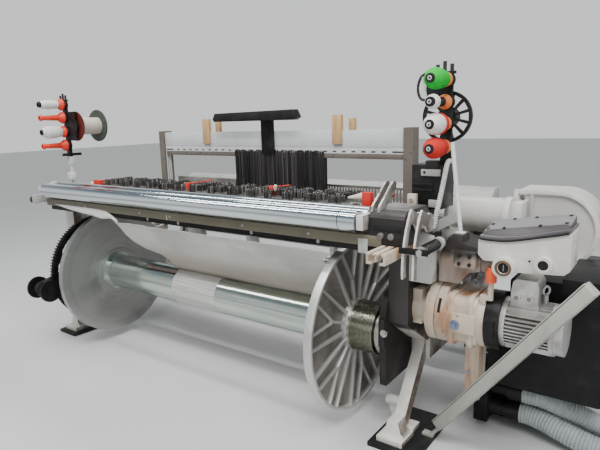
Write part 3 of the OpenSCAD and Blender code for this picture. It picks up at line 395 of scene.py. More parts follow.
def shade(color, factor):
    return tuple(min(1.0, c * factor) for c in color)


def worn_paint(name, paint, under, stain, chips=0.66, stains=0.55, rough=0.42, wash=0.3,
               side=None, above=None):
    """Old enamel over cast iron: mottled, washed with stain, chipped here and there.

    side is a brown tone laid in patches on the faces that look to the loom's right; above is the
    height from which the paint turns near black, painted shade on the right side frame.
    """
    f = Finish(name)
    mottle = f.noise(6.0, 5.0)
    tone = f.mix(f.range(mottle, 0.3, 0.7), shade(paint, 0.88), shade(paint, 1.05))
    broad = f.noise(4.2, 7.0, 0.66, distort=0.5)
    tone = f.mix(f.range(broad, 0.44, 0.70, 0.0, wash, True), tone, stain)
    runs = f.noise(9.0, 6.0, 0.6, f.stretched((1.0, 1.0, 0.2)))
    tone = f.mix(f.range(runs, stains, stains + 0.25, 0.0, wash * 1.6, True), tone, stain)
    # Faces that look to the loom's right take a brown tone in patches.
    if side:
        facing = f.range(f.facing()["X"], 0.35, 0.8)
        patch = f.range(f.noise(7.0, 7.0, 0.65), 0.34, 0.56, 0.25, 0.95)
        tone = f.mix(f.product(facing, patch), tone, side)
    # Near black above the height, with a ragged edge: painted shade on the right side frame.
    if above:
        edge = f.product(f.maths("SUBTRACT", f.noise(14.0, 6.0, 0.65), 0.5), 0.10)
        height = f.maths("ADD", f.axes()["Z"], edge)
        oily = f.range(height, above - 0.015, above + 0.03, 0.0, 0.97, True)
        tone = f.mix(oily, tone, (0.020, 0.017, 0.016))
    flakes = f.noise(26.0, 8.0, 0.62, distort=0.4)
    bare = f.range(flakes, chips, chips + 0.07, 0.0, 0.85, True)
    specks = f.range(f.noise(120.0, 3.0), 0.66, 0.74, 0.0, 0.4)
    tone = f.mix(specks, tone, shade(stain, 0.6))
    tone = f.mix(bare, tone, under)
    gloss = f.range(mottle, 0.2, 0.8, rough - 0.08, rough + 0.14)
    gloss = f.maths("ADD", gloss, f.product(bare, 0.25))
    grain = f.bump(f.noise(220.0, 4.0), 0.12, 0.0006)
    normal = f.bump(f.maths("SUBTRACT", 1.0, bare), 0.25, 0.0006, grain)
    return f.done(tone, gloss, 0.0, normal, Specular_IOR_Level=0.35)


def cast_metal(name, color, dirt, rough, metal):
    """Raw cast or dull metal with oily dirt in patches."""
    f = Finish(name)
    patch = f.noise(7.0, 6.0, 0.6)
    fine = f.noise(160.0, 5.0, 0.6)
    tone = f.mix(f.range(fine, 0.3, 0.7), shade(color, 0.86), shade(color, 1.1))
    tone = f.mix(f.range(patch, 0.46, 0.68, 0.0, 0.75, True), tone, dirt)
    gloss = f.range(patch, 0.3, 0.7, rough - 0.1, rough + 0.16)
    return f.done(tone, gloss, metal, f.bump(fine, 0.25, 0.0007), Specular_IOR_Level=0.25)


def turned_metal(name, color, rough):
    """Bright metal turned or drawn round the X axis, with fine rings and dull patches."""
    f = Finish(name)
    rings = f.noise(1.0, 3.0, 0.7, f.stretched((900.0, 4.0, 4.0)))
    bands = f.noise(1.0, 4.0, 0.6, f.stretched((14.0, 1.5, 1.5)))
    along = f.noise(1.0, 5.0, 0.6, f.stretched((1.4, 46.0, 46.0)))
    tone = f.mix(f.range(rings, 0.3, 0.7), shade(color, 0.93), shade(color, 1.05))
    tone = f.mix(f.range(along, 0.5, 0.75, 0.0, 0.5), tone, shade(color, 0.82))
    tone = f.mix(f.range(bands, 0.56, 0.8, 0.0, 0.35), tone, (0.2, 0.2, 0.19))
    gloss = f.range(rings, 0.3, 0.7, rough - 0.05, rough + 0.07)
    gloss = f.maths("ADD", gloss, f.range(bands, 0.45, 0.8, 0.0, 0.16))
    return f.done(tone, gloss, 1.0, f.bump(rings, 0.06, 0.0003))


def barrel_steel():
    """Galvanised barrel with a painted reflection, a green tint and dark stripes along it, and a
    band of matt tape in the middle of the loom.
    """
    f = Finish("barrel_steel")
    x = f.axes()["X"]
    rings = f.noise(1.0, 3.0, 0.7, f.stretched((700.0, 3.0, 3.0)))
    spangle = f.cells(34.0, f.stretched((0.5, 1.0, 1.0)))
    # Painted reflection: a green tint and dark stripes along the barrel.
    along = f.noise(1.0, 5.0, 0.6, f.stretched((0.9, 34.0, 34.0)))
    steel = f.mix(f.range(along, 0.35, 0.75), (0.60, 0.66, 0.61), (0.34, 0.40, 0.35))
    steel = f.mix(0.05, steel, spangle)
    edge = f.product(f.maths("SUBTRACT", f.noise(30.0, 3.0), 0.5), 0.012)
    here = f.maths("ADD", x, edge)
    left_edge = f.range(here, ZERO_X - 0.174, ZERO_X - 0.170)
    right_edge = f.range(here, ZERO_X + 0.170, ZERO_X + 0.174)
    tape = f.maths("SUBTRACT", left_edge, right_edge)
    weave = f.noise(1.0, 4.0, 0.6, f.stretched((4.0, 130.0, 130.0)))
    cloth = f.mix(f.range(weave, 0.35, 0.65), (0.40, 0.39, 0.375), (0.62, 0.61, 0.59))
    gloss = f.range(rings, 0.3, 0.7, 0.13, 0.20)
    gloss = f.maths("ADD", gloss, f.product(tape, 0.25))
    metal = f.maths("SUBTRACT", 1.0, f.product(tape, 0.95))
    normal = f.bump(tape, 0.3, 0.001)
    return f.done(f.mix(tape, steel, cloth), gloss, metal, normal)


def beam_radius(f):
    """Distance from the warp beam's axis."""
    axes = f.axes()
    y = f.maths("SUBTRACT", axes["Y"], ZERO_Y)
    z = f.maths("SUBTRACT", axes["Z"], BEAM_Z)
    return f.maths("SQRT", f.maths("ADD", f.product(y, y), f.product(z, z)))


def flange_face():
    """Cast light alloy, face turned in rings, with oily smears."""
    f = Finish("flange_alloy")
    outward = f.add("ShaderNodeCombineXYZ")
    f.join(beam_radius(f), outward.inputs["X"])
    rings = f.noise(420.0, 3.0, 0.7, outward.outputs["Vector"])
    broad = f.noise(16.0, 3.0, 0.6, outward.outputs["Vector"])
    patch = f.noise(5.0, 6.0, 0.62)
    fine = f.noise(150.0, 5.0, 0.6)
    tone = f.mix(f.range(rings, 0.3, 0.7), (0.34, 0.34, 0.335), (0.47, 0.47, 0.46))
    tone = f.mix(f.range(broad, 0.4, 0.7, 0.0, 0.5), tone, (0.27, 0.27, 0.265))
    tone = f.mix(f.range(patch, 0.48, 0.68, 0.0, 0.5, True), tone, (0.22, 0.22, 0.205))
    gloss = f.range(patch, 0.3, 0.7, 0.27, 0.42)
    made = f.maths("ADD", f.product(rings, 0.5), f.product(fine, 0.5))
    tangent = f.add("ShaderNodeTangent", direction_type="RADIAL", axis="X")
    f.join(tangent.outputs["Tangent"], f.shader.inputs["Tangent"])
    return f.done(tone, gloss, 1.0, f.bump(made, 0.10, 0.0005), Anisotropic=0.85)


def ribbed_flange():
    """Rough cast alloy: pale rim, ribs and hub ring; brown grey webs between them, grime in the
    recess and painted shade.
    """
    f = Finish("rib_alloy")
    radius = beam_radius(f)
    depth = f.range(f.axes()["X"], ZERO_X + 0.990, ZERO_X + 1.006, 1.0, 0.0)
    inside = f.product(
        f.range(radius, 0.121, 0.124), f.range(radius, 0.383, 0.388, 1.0, 0.0),
    )
    # The webs between the ribs are darkened to brown grey: grime in the recess and painted shade.
    web_grime_and_shade = f.product(depth, inside)
    patch = f.noise(5.0, 7.0, 0.66, distort=0.6)
    fine = f.noise(110.0, 5.0, 0.6)
    bright = f.mix(f.range(fine, 0.3, 0.7), (0.56, 0.55, 0.53), (0.68, 0.67, 0.65))
    bright = f.mix(f.range(patch, 0.5, 0.7, 0.0, 0.45, True), bright, (0.40, 0.38, 0.35))
    dull = f.mix(f.range(patch, 0.36, 0.66), (0.33, 0.31, 0.29), (0.17, 0.155, 0.14))
    gloss = f.maths("ADD", f.range(patch, 0.3, 0.7, 0.36, 0.5), f.product(web_grime_and_shade, 0.12))
    return f.done(f.mix(web_grime_and_shade, bright, dull), gloss, 0.75, f.bump(fine, 0.3, 0.0008))


def hub_finish():
    """Oily olive steel with fine grooves, painted shade at each groove's bottom, and a pale collar.
    """
    f = Finish("grooved_steel")
    x = f.maths("SUBTRACT", f.axes()["X"], ZERO_X)
    patch = f.noise(9.0, 5.0, 0.6)
    groove = f.maths("SINE", f.product(x, math.tau / 0.0032))
    # Painted shade: the tone darkens at the bottom of each fine groove.
    olive = f.mix(f.range(groove, -0.4, 0.8), (0.17, 0.17, 0.125), (0.46, 0.46, 0.37))
    olive = f.mix(f.range(patch, 0.48, 0.70, 0.0, 0.4, True), olive, (0.14, 0.14, 0.10))
    tone = f.mix(f.range(x, 1.0240, 1.0255), (0.55, 0.53, 0.50), olive)
    gloss = f.range(patch, 0.3, 0.7, 0.16, 0.34)
    return f.done(tone, gloss, 1.0, f.bump(groove, 0.35, 0.0006))


def drawn_tube():
    """Bright drawn tube: long even reflections, with a few faint painted reflection bands along it.
    """
    f = Finish("roller_steel")
    along = f.noise(1.0, 3.0, 0.5, f.stretched((0.5, 26.0, 26.0)))
    patch = f.noise(3.0, 4.0, 0.6)
    # Painted reflection: broad lighter and darker blue grey bands along the tube.
    tone = f.mix(f.range(along, 0.35, 0.7), (0.70, 0.75, 0.77), (0.52, 0.57, 0.60))
    x = f.maths("SUBTRACT", f.axes()["X"], ZERO_X)
    ring = f.product(f.range(x, 1.0705, 1.0715), f.range(x, 1.0745, 1.0755, 1.0, 0.0))
    tone = f.mix(f.product(ring, 0.85), tone, (0.03, 0.03, 0.03))
    return f.done(tone, f.range(patch, 0.3, 0.7, 0.09, 0.14), 1.0)


def lid_paint():
    """Grey enamel: paler on the faces that look up, darker on the others, such as the front band.
    """
    f = Finish("lid_grey")
    # Faces that look up take the paler tone, the others the darker one.
    top = f.range(f.facing()["Z"], 0.35, 0.85)
    smear = f.noise(1.0, 6.0, 0.6, f.stretched((5.0, 22.0, 22.0)))
    pale = f.mix(f.range(smear, 0.3, 0.7), (0.17, 0.16, 0.168), (0.24, 0.23, 0.238))
    dark = f.mix(f.range(smear, 0.35, 0.65), (0.085, 0.080, 0.082), (0.15, 0.14, 0.145))
    return f.done(f.mix(top, dark, pale), f.range(smear, 0.3, 0.7, 0.3, 0.5), 0.0,
                  f.bump(f.noise(220.0, 4.0), 0.1, 0.0005), Specular_IOR_Level=0.35)


def strip_steel(name, dark, mid, pale, scale):
    """Thin steel strips seen side by side: each a little lighter or darker than the next, the
    palest a painted highlight.
    """
    f = Finish(name)
    strips = f.noise(1.0, 1.0, 0.4, f.stretched((scale, 6.0, 0.4)))
    groups = f.noise(1.0, 2.0, 0.5, f.stretched((scale * 0.09, 3.0, 0.2)))
    tone = f.mix(f.range(strips, 0.36, 0.58), dark, mid)
    # Painted highlight: the palest strips take the pale tone.
    tone = f.mix(f.range(strips, 0.60, 0.70), tone, pale)
    tone = f.mix(f.range(groups, 0.42, 0.62, 0.0, 0.6, True), tone, dark)
    return f.done(tone, f.range(strips, 0.3, 0.7, 0.34, 0.55), 0.55, f.bump(strips, 0.2, 0.0005))


def black_finish(name, color, rough, dust):
    """Black paint, rubber or moulded plastic with dust and scuffs."""
    f = Finish(name)
    patch = f.noise(11.0, 6.0, 0.62)
    scuff = f.noise(1.0, 4.0, 0.7, f.stretched((30.0, 30.0, 160.0)))
    tone = f.mix(f.range(patch, 0.45, 0.75, 0.0, 0.7, True), color, dust)
    tone = f.mix(f.range(scuff, 0.66, 0.74, 0.0, 0.25), tone, shade(dust, 1.8))
    gloss = f.range(patch, 0.3, 0.7, rough - 0.08, rough + 0.16)
    return f.done(tone, gloss, 0.0, f.bump(f.noise(240.0, 3.0), 0.12, 0.0005),
                  Specular_IOR_Level=0.2)


def yarn_finish(name, color):
    """Wound thread: fine turns round the bobbin's axis, which runs along Y."""
    f = Finish(name)
    turns = f.noise(1.0, 2.0, 0.5, f.stretched((1.0, 900.0, 1.0)))
    soft = f.noise(40.0, 5.0)
    tone = f.mix(f.range(turns, 0.35, 0.65), shade(color, 0.72), color)
    tone = f.mix(f.range(soft, 0.45, 0.7, 0.0, 0.3), tone, shade(color, 0.8))
    return f.done(tone, 0.85, 0.0, f.bump(turns, 0.4, 0.0006), Specular_IOR_Level=0.08)


def moulded(name, color, rough):
    """Smooth moulded plastic or hard paint."""
    f = Finish(name)
    patch = f.noise(24.0, 5.0)
    tone = f.mix(f.range(patch, 0.4, 0.7), color, shade(color, 0.8))
    return f.done(tone, f.range(patch, 0.3, 0.7, rough - 0.05, rough + 0.15), 0.0,
                  f.bump(f.noise(300.0, 2.0), 0.06, 0.0004), Specular_IOR_Level=0.3)


def wood_block():
    """Tan wood, its grain upright."""
    f = Finish("tan_wood")
    grain = f.noise(1.0, 6.0, 0.6, f.stretched((90.0, 60.0, 6.0)), 0.6)
    tone = f.mix(f.range(grain, 0.3, 0.7), (0.62, 0.40, 0.19), (0.40, 0.235, 0.10))
    return f.done(tone, 0.6, 0.0, f.bump(grain, 0.2, 0.0006))


def leader_cotton():
    """Greige cotton: a fine weave, creases and grey handling marks, darker beige brown towards the
    bottom, with a painted highlight along its top.
    """
    f = Finish("leader_cotton")
    warp = f.noise(1.0, 2.0, 0.5, f.stretched((1400.0, 30.0, 30.0)))
    weft = f.noise(1.0, 2.0, 0.5, f.stretched((30.0, 900.0, 1400.0)))
    soil = f.noise(3.2, 6.0, 0.6)
    streaks = f.noise(1.0, 5.0, 0.6, f.stretched((1.2, 22.0, 22.0)))
    tone = f.mix(f.range(soil, 0.42, 0.68), (0.60, 0.59, 0.56), (0.46, 0.45, 0.42))
    tone = f.mix(f.range(streaks, 0.55, 0.8, 0.0, 0.45), tone, (0.42, 0.41, 0.38))
    height = f.axes()["Z"]
    # Darker beige brown towards the bottom.
    uneven = f.maths("ADD", height, f.product(soil, 0.12))
    low = f.range(uneven, 0.68, 0.80, 1.0, 0.0, True)
    tone = f.mix(f.product(low, 0.7), tone, (0.34, 0.29, 0.235))
    # Painted highlight: near white above 0.846 m, along the top edge and over the turned up end.
    tone = f.mix(f.range(height, 0.838, 0.846, 0.0, 0.8), tone, (0.80, 0.80, 0.77))
    threads = f.maths("ADD", warp, weft)
    fold = f.noise(1.0, 4.0, 0.55, f.stretched((2.2, 9.0, 16.0)), 0.8)
    normal = f.bump(threads, 0.25, 0.0006, f.bump(fold, 0.55, 0.02))
    return f.done(tone, 0.82, 0.0, normal, Specular_IOR_Level=0.1)


FINISHES = {}
RUST = (0.16, 0.075, 0.035)
OIL = (0.05, 0.043, 0.036)
WHITE_PAINT = ((0.70, 0.68, 0.62), OIL, (0.36, 0.29, 0.22), 0.66, 0.55, 0.42, 0.35)
# Each finish's values, in the order of its maker's arguments after the name
PAINTS = {
    "frame_white": (*WHITE_PAINT, (0.12, 0.085, 0.065)),
    # The right side frame turns near black above 0.475 m: painted shade over its upper part.
    "frame_oily": (*WHITE_PAINT, (0.10, 0.068, 0.050), 0.475),
    "bridge_cream": (
        (0.34, 0.29, 0.25), RUST, (0.20, 0.11, 0.07), 0.64, 0.46, 0.42, 0.6, None, 0.845,
    ),
    "olive": ((0.15, 0.135, 0.095), OIL, (0.07, 0.06, 0.045), 0.68, 0.55),
    "light_grey": ((0.44, 0.44, 0.42), OIL, (0.22, 0.20, 0.17), 0.66),
    "guide_brown": ((0.14, 0.12, 0.10), OIL, (0.08, 0.07, 0.06), 0.6),
    "cream": ((0.60, 0.52, 0.42), RUST, (0.40, 0.20, 0.10), 0.66, 0.46, 0.42, 0.7),
    "cream_clean": ((0.66, 0.64, 0.59), OIL, (0.42, 0.38, 0.32), 0.75, 0.62, 0.28, 0.2),
    "white_cover": ((0.66, 0.65, 0.61), OIL, (0.42, 0.39, 0.34), 0.74, 0.6, 0.32, 0.25),
    "arm_white": (
        (0.70, 0.67, 0.64), OIL, (0.33, 0.28, 0.24), 0.66, 0.5, 0.32, 0.3, (0.10, 0.082, 0.075),
    ),
    "heald_alloy": ((0.60, 0.61, 0.62), OIL, (0.42, 0.42, 0.41), 0.78, 0.64, 0.3, 0.15),
    "duct_grey": ((0.40, 0.40, 0.36), OIL, (0.24, 0.23, 0.19), 0.72, 0.55, 0.4),
}
CASTINGS = {
    "dark_iron": ((0.026, 0.022, 0.022), (0.012, 0.010, 0.009), 0.5, 0.1),
    "motor_alloy": ((0.56, 0.55, 0.53), (0.30, 0.28, 0.26), 0.46, 0.75),
    "head_cover": ((0.065, 0.056, 0.056), (0.028, 0.024, 0.022), 0.4, 0.3),
    "worn_steel": ((0.50, 0.48, 0.45), (0.16, 0.14, 0.12), 0.34, 0.9),
    "spring_steel": ((0.05, 0.05, 0.052), (0.02, 0.018, 0.016), 0.3, 0.7),
    "dull_steel": ((0.24, 0.23, 0.22), (0.08, 0.07, 0.06), 0.4, 0.8),
}
STRIPS = {
    "drop_steel": ((0.035, 0.032, 0.030), (0.17, 0.165, 0.155), (0.50, 0.49, 0.46), 300.0),
    "heald_steel": ((0.020, 0.018, 0.018), (0.060, 0.055, 0.055), (0.15, 0.14, 0.14), 230.0),
}
TURNED = {
    "blue_steel": ((0.20, 0.25, 0.36), 0.25),
    "boss_brown": ((0.20, 0.13, 0.09), 0.4),
    "shaft_steel": ((0.50, 0.49, 0.46), 0.28),
    "copper_ring": ((0.70, 0.50, 0.42), 0.18),
}
BLACKS = {
    "black_gear": ((0.008, 0.008, 0.009), 0.4, (0.028, 0.026, 0.024)),
    "black_rubber": ((0.012, 0.012, 0.012), 0.6, (0.04, 0.038, 0.036)),
    "black_cover": ((0.006, 0.006, 0.007), 0.4, (0.022, 0.021, 0.023)),
    "black_part": ((0.009, 0.009, 0.009), 0.36, (0.035, 0.033, 0.032)),
}
PLASTICS = {
    "spool_red": ((0.10, 0.012, 0.010), 0.4),
    "spool_green": ((0.055, 0.065, 0.055), 0.45),
    "hose_grey": ((0.36, 0.39, 0.40), 0.42),
    "oil_cap_red": ((0.85, 0.13, 0.04), 0.3),
    "red_block": ((0.62, 0.035, 0.022), 0.4),
    "core_red": ((0.72, 0.05, 0.02), 0.34),
    "base_orange": ((0.80, 0.22, 0.05), 0.36),
    "nose_grey": ((0.48, 0.47, 0.47), 0.3),
    "wrap_white": ((0.62, 0.62, 0.60), 0.45),
    "gasket": ((0.010, 0.010, 0.010), 0.6),
    "pole_white": ((0.66, 0.66, 0.68), 0.4),
    "cone_cream": ((0.66, 0.60, 0.50), 0.45),
}
YARNS = {
    "yarn_green": ((0.01, 0.52, 0.05),),
    "yarn_white": ((0.82, 0.81, 0.77),),
    "yarn_red": ((0.66, 0.045, 0.035),),
    "yarn_beige": ((0.66, 0.60, 0.50),),
}


def make_finishes():
    """Every finish of the loom, by name."""
    for maker, table in (
        (worn_paint, PAINTS), (cast_metal, CASTINGS), (strip_steel, STRIPS),
        (turned_metal, TURNED), (black_finish, BLACKS), (moulded, PLASTICS), (yarn_finish, YARNS),
    ):
        for name, values in table.items():
            FINISHES[name] = maker(name, *values)
    FINISHES.update(
        lid_grey=lid_paint(), rib_alloy=ribbed_flange(), roller_steel=drawn_tube(),
        grooved_steel=hub_finish(), barrel_steel=barrel_steel(), flange_alloy=flange_face(),
        tan_wood=wood_block(), leader_cotton=leader_cotton(),
    )


# Sizes and colours that a user may change


class LoomStageSettings(bpy.types.PropertyGroup):
    floor_color: bpy.props.FloatVectorProperty(
        name="Floor colour", description="Colour of the plain floor", subtype="COLOR",
        size=3, min=0.0, max=1.0, default=(0.62, 0.63, 0.62),
    )
    key_power: bpy.props.FloatProperty(
        name="Key light", description="Power of the large ceiling light", default=95.0,
        min=0.0, unit="POWER",
    )
    focal_length: bpy.props.FloatProperty(
        name="Focal length", description="Camera's focal length on a 36 mm wide sensor",
        default=32.32, min=10.0, subtype="DISTANCE_CAMERA",
    )


class LoomDetailSettings(bpy.types.PropertyGroup):
    blades_per_bunch: bpy.props.IntProperty(
        name="Drop wires per bunch", description="Thin strips hanging together on a rail",
        default=16, min=3, max=30,
    )
    heald_wires: bpy.props.IntProperty(
        name="Healds per row", description="Healds in the bunch of each frame",
        default=120, min=10, max=200,
    )
    rib_pitch: bpy.props.FloatProperty(
        name="Hose rib pitch", description="Distance between two ribs of a hose",
        default=0.0135, min=0.005, max=0.05, unit="LENGTH",
    )


def stage_settings():
    """The scene's values for camera, floor and lights."""
    return bpy.context.scene.loom_stage


def detail_settings():
    """The scene's values for fine pieces."""
    return bpy.context.scene.loom_detail


# Camera and stage


class LOOM_OT_camera(bpy.types.Operator):
    """Camera at the warp side, right of the loom's middle"""

    bl_idname = "loom.camera"
    bl_label = "Camera"

    def execute(self, context):
        yaw, pitch, roll = (math.radians(a) for a in (36.24, 11.06, -1.62))
        ahead = Vector((
            -math.sin(yaw) * math.cos(pitch), math.cos(yaw) * math.cos(pitch), -math.sin(pitch),
        ))
        level = ahead.cross(Vector((0, 0, 1))).normalized()
        upright = level.cross(ahead)
        right = level * math.cos(roll) + upright * math.sin(roll)
        up = upright * math.cos(roll) - level * math.sin(roll)
        data = bpy.data.cameras.new("camera")
        data.sensor_width = 36.0
        data.lens = stage_settings().focal_length
        data.clip_end = 100.0
        camera = bpy.data.objects.new("camera", data)
        turn = Matrix((right, up, -ahead)).transposed()
        camera.matrix_world = Matrix.Translation(at(2.2106, -2.0797, 1.3957)) @ turn.to_4x4()
        context.scene.collection.objects.link(camera)
        context.scene.camera = camera
        return {"FINISHED"}


def area_light(name, place, target, size, power):
    data = bpy.data.lights.new(name, "AREA")
    data.shape = "RECTANGLE"
    data.size, data.size_y = size
    data.energy = power
    lamp = bpy.data.objects.new(name, data)
    look = (Vector(target) - Vector(place)).to_track_quat("-Z", "Y").to_matrix().to_4x4()
    lamp.matrix_world = Matrix.Translation(place) @ look
    bpy.context.scene.collection.objects.link(lamp)


class LOOM_OT_stage(bpy.types.Operator):
    """Plain floor, pale surroundings and soft lights"""

    bl_idname = "loom.stage"
    bl_label = "Stage"

    def execute(self, context):
        color = tuple(stage_settings().floor_color)
        bm = bmesh.new()
        bmesh.ops.create_grid(bm, x_segments=1, y_segments=1, size=30.0)
        mesh = bpy.data.meshes.new("floor")
        bm.to_mesh(mesh)
        bm.free()
        floor = bpy.data.objects.new("floor", mesh)
        context.scene.collection.objects.link(floor)
        f = Finish("floor_paint")
        tone = f.mix(f.range(f.noise(1.6, 5.0), 0.3, 0.7), shade(color, 0.96), color)
        mesh.materials.append(f.done(tone, 0.5, 0.0))
        world = context.scene.world or bpy.data.worlds.new("world")
        context.scene.world = world
        world.use_nodes = True
        tree = world.node_tree
        tree.nodes.clear()
        add, link = tree.nodes.new, tree.links.new
        lit = add("ShaderNodeBackground")
        lit.inputs["Color"].default_value = (0.90, 0.93, 0.96, 1.0)
        lit.inputs["Strength"].default_value = 0.30
        # What camera, metal and glass see: pale walls, and a darker blue grey higher up
        seen = add("ShaderNodeBackground")
        seen.inputs["Strength"].default_value = 1.0
        split = add("ShaderNodeSeparateXYZ")
        link(add("ShaderNodeTexCoord").outputs["Generated"], split.inputs["Vector"])
        height = add("ShaderNodeMapRange")
        height.interpolation_type = "SMOOTHSTEP"
        height.inputs["From Min"].default_value = 0.30
        height.inputs["From Max"].default_value = 0.55
        link(split.outputs["Z"], height.inputs["Value"])
        tones = add("ShaderNodeMix")
        tones.data_type = "RGBA"
        tones.inputs[6].default_value = (0.86, 0.87, 0.88, 1.0)
        tones.inputs[7].default_value = (0.22, 0.26, 0.30, 1.0)
        link(height.outputs["Result"], tones.inputs["Factor"])
        link(tones.outputs[2], seen.inputs["Color"])
        path = add("ShaderNodeLightPath")
        total = path.outputs["Is Camera Ray"]
        for other in ("Is Glossy Ray", "Is Transmission Ray"):
            more = add("ShaderNodeMath")
            more.operation = "MAXIMUM"
            link(total, more.inputs[0])
            link(path.outputs[other], more.inputs[1])
            total = more.outputs["Value"]
        mixed = add("ShaderNodeMixShader")
        link(total, mixed.inputs["Fac"])
        link(lit.outputs["Background"], mixed.inputs[1])
        link(seen.outputs["Background"], mixed.inputs[2])
        link(mixed.outputs["Shader"], add("ShaderNodeOutputWorld").inputs["Surface"])
        sun = bpy.data.lights.new("sky_light", "SUN")
        sun.energy = 1.5
        sun.angle = math.radians(25)
        lamp = bpy.data.objects.new("sky_light", sun)
        lamp.rotation_euler = (math.radians(28), math.radians(14), 0)
        context.scene.collection.objects.link(lamp)
        power = stage_settings().key_power
        for name, place, target, size, share in (
            ("ceiling_near", (0.4, -1.5, 3.4), (0.3, -0.1, 0.8), (7.0, 0.12), 1.0),
            ("ceiling_middle", (0.2, -0.6, 3.6), (0.2, -0.1, 0.8), (7.0, 0.12), 0.8),
            ("ceiling_far", (0.0, 1.6, 3.8), (0.0, 0.4, 0.6), (5.0, 0.5), 0.7),
            ("side_right", (4.4, -1.6, 2.4), (1.2, 0.2, 0.6), (2.0, 2.4), 0.4),
            ("front_fill", (1.2, -4.6, 1.6), (0.4, 0.0, 0.5), (4.0, 1.6), 0.25),
        ):
            area_light(name, at(*place), at(*target), size, power * share)
        return {"FINISHED"}


# Hoses


UPPER_ROUTE = [
    (1.700, 0.250, 0.190), (1.740, 0.250, 0.190), (1.790, 0.256, 0.183), (1.850, 0.272, 0.160),
    (1.915, 0.295, 0.128), (1.980, 0.321, 0.094), (2.045, 0.352, 0.066), (2.105, 0.398, 0.052),
    (2.154, 0.452, 0.048), (2.194, 0.516, 0.048), (2.222, 0.586, 0.048), (2.237, 0.660, 0.048),
    (2.240, 0.730, 0.048), (2.240, 0.800, 0.048),
]
LOWER_ROUTE = [
    (1.690, 0.250, 0.092), (1.730, 0.250, 0.092), (1.790, 0.240, 0.086), (1.855, 0.224, 0.074),
    (1.925, 0.211, 0.062), (1.995, 0.205, 0.053), (2.065, 0.205, 0.048), (2.135, 0.214, 0.048),
    (2.202, 0.233, 0.048), (2.266, 0.263, 0.048), (2.324, 0.303, 0.048), (2.374, 0.352, 0.048),
    (2.414, 0.409, 0.048), (2.442, 0.473, 0.048), (2.457, 0.541, 0.048), (2.460, 0.600, 0.048),
    (2.460, 0.650, 0.048),
]
HOSE_R = 0.0455
HOSE_RIB = (1.0, 0.985, 0.93, 0.985)


class LOOM_OT_hoses(bpy.types.Operator):
    """Corrugated suction hoses with their ribbed cuffs"""

    bl_idname = "loom.hoses"
    bl_label = "Hoses"

    def execute(self, context):
        step = detail_settings().rib_pitch / len(HOSE_RIB)
        cuff_profile = [(0.0, 0.030), (0.0, 0.0465), (0.008, 0.0465)]
        for k in range(5):
            cuff_profile += [(0.010 + k * 0.010, 0.044), (0.016 + k * 0.010, 0.0465)]
        cuff_profile += [(0.069, 0.0465), (0.069, 0.038), (0.02, 0.036)]
        for name, route, node in (
            ("upper_hose", UPPER_ROUTE, "hose_upper"), ("lower_hose", LOWER_ROUTE, "hose_lower"),
        ):
            line = smooth_path([at(*p) for p in route], step)
            bm = bmesh.new()
            add_tube(bm, line, lambda i: HOSE_R * HOSE_RIB[i % 4], 28)
            hose = finish_piece(name, bm, "hose_grey", node, 60.0, True)
            bm = bmesh.new()
            add_turned(bm, at(*route[-1]), (0, 1, 0), cuff_profile, 40)
            cuff = finish_piece(
                name + "_cuff", bm, "black_part", "hose_cuffs", replaces=name == "upper_hose",
            )
        return {"FINISHED"}


CABLE_ROUTE = [
    (1.3453, -0.012, 0.938), (1.358, -0.012, 0.938), (1.374, -0.011, 0.950), (1.382, -0.008, 1.000),
    (1.390, 0.000, 1.050), (1.396, 0.014, 1.104), (1.398, 0.034, 1.156), (1.397, 0.054, 1.192),
    (1.396, 0.076, 1.210), (1.396, 0.0957, 1.210),
]
CABLE_WRAP = (1.0, 1.0, 0.97, 0.86, 0.84, 0.97)


class LOOM_OT_cable(bpy.types.Operator):
    """Cable in a white spiral sleeve"""

    bl_idname = "loom.cable"
    bl_label = "Wrapped cable"

    def execute(self, context):
        line = smooth_path([at(*p) for p in CABLE_ROUTE], 0.0016)
        bm = bmesh.new()
        add_tube(bm, line, lambda i: 0.0105 * CABLE_WRAP[i % 6])
        cable = finish_piece("spiral_cable", bm, "wrap_white", "wrapped_cable", 50.0, True)
        return {"FINISHED"}


# Selvedge bobbins: height, largest radius of the yarn and its finish, from the lowest up


RIGHT_BOBBINS = (
    (1.270, 0.042, "yarn_red"), (1.364, 0.042, "yarn_white"), (1.450, 0.0, None),
    (1.538, 0.042, "yarn_green"),
)
LEFT_BOBBINS = (
    (1.270, 0.0, None), (1.360, 0.042, "yarn_white"), (1.452, 0.0, None),
    (1.537, 0.029, "yarn_white"),
)
CORE = (
    (0.036, 0.019), (0.080, 0.0175), (0.148, 0.0140), (0.150, 0.0195), (0.161, 0.0190),
    (0.165, 0.0160), (0.165, 0.0100), (0.160, 0.0095),
)
NOSE = ((0.159, 0.0092), (0.166, 0.0090), (0.167, 0.0080), (0.167, 0.0045), (0.160, 0.0040))
# Thread left from an earlier filling, by the finish of the yarn over it
OLD_THREAD = {
    None: ("yarn_white", (
        (0.112, 0.014), (0.112, 0.026), (0.124, 0.0295), (0.146, 0.026), (0.150, 0.018),
    )),
    "yarn_white": ("yarn_red", (
        (0.050, 0.014), (0.050, 0.0385), (0.062, 0.0435), (0.084, 0.0436), (0.088, 0.018),
    )),
}
# A full winding: distance along the bobbin and share of the yarn's radius
WINDING = (
    (0.024, 0.66), (0.030, 0.76), (0.062, 0.9), (0.092, 0.99), (0.106, 1.0), (0.119, 0.985),
    (0.131, 0.9), (0.142, 0.76), (0.151, 0.6),
)


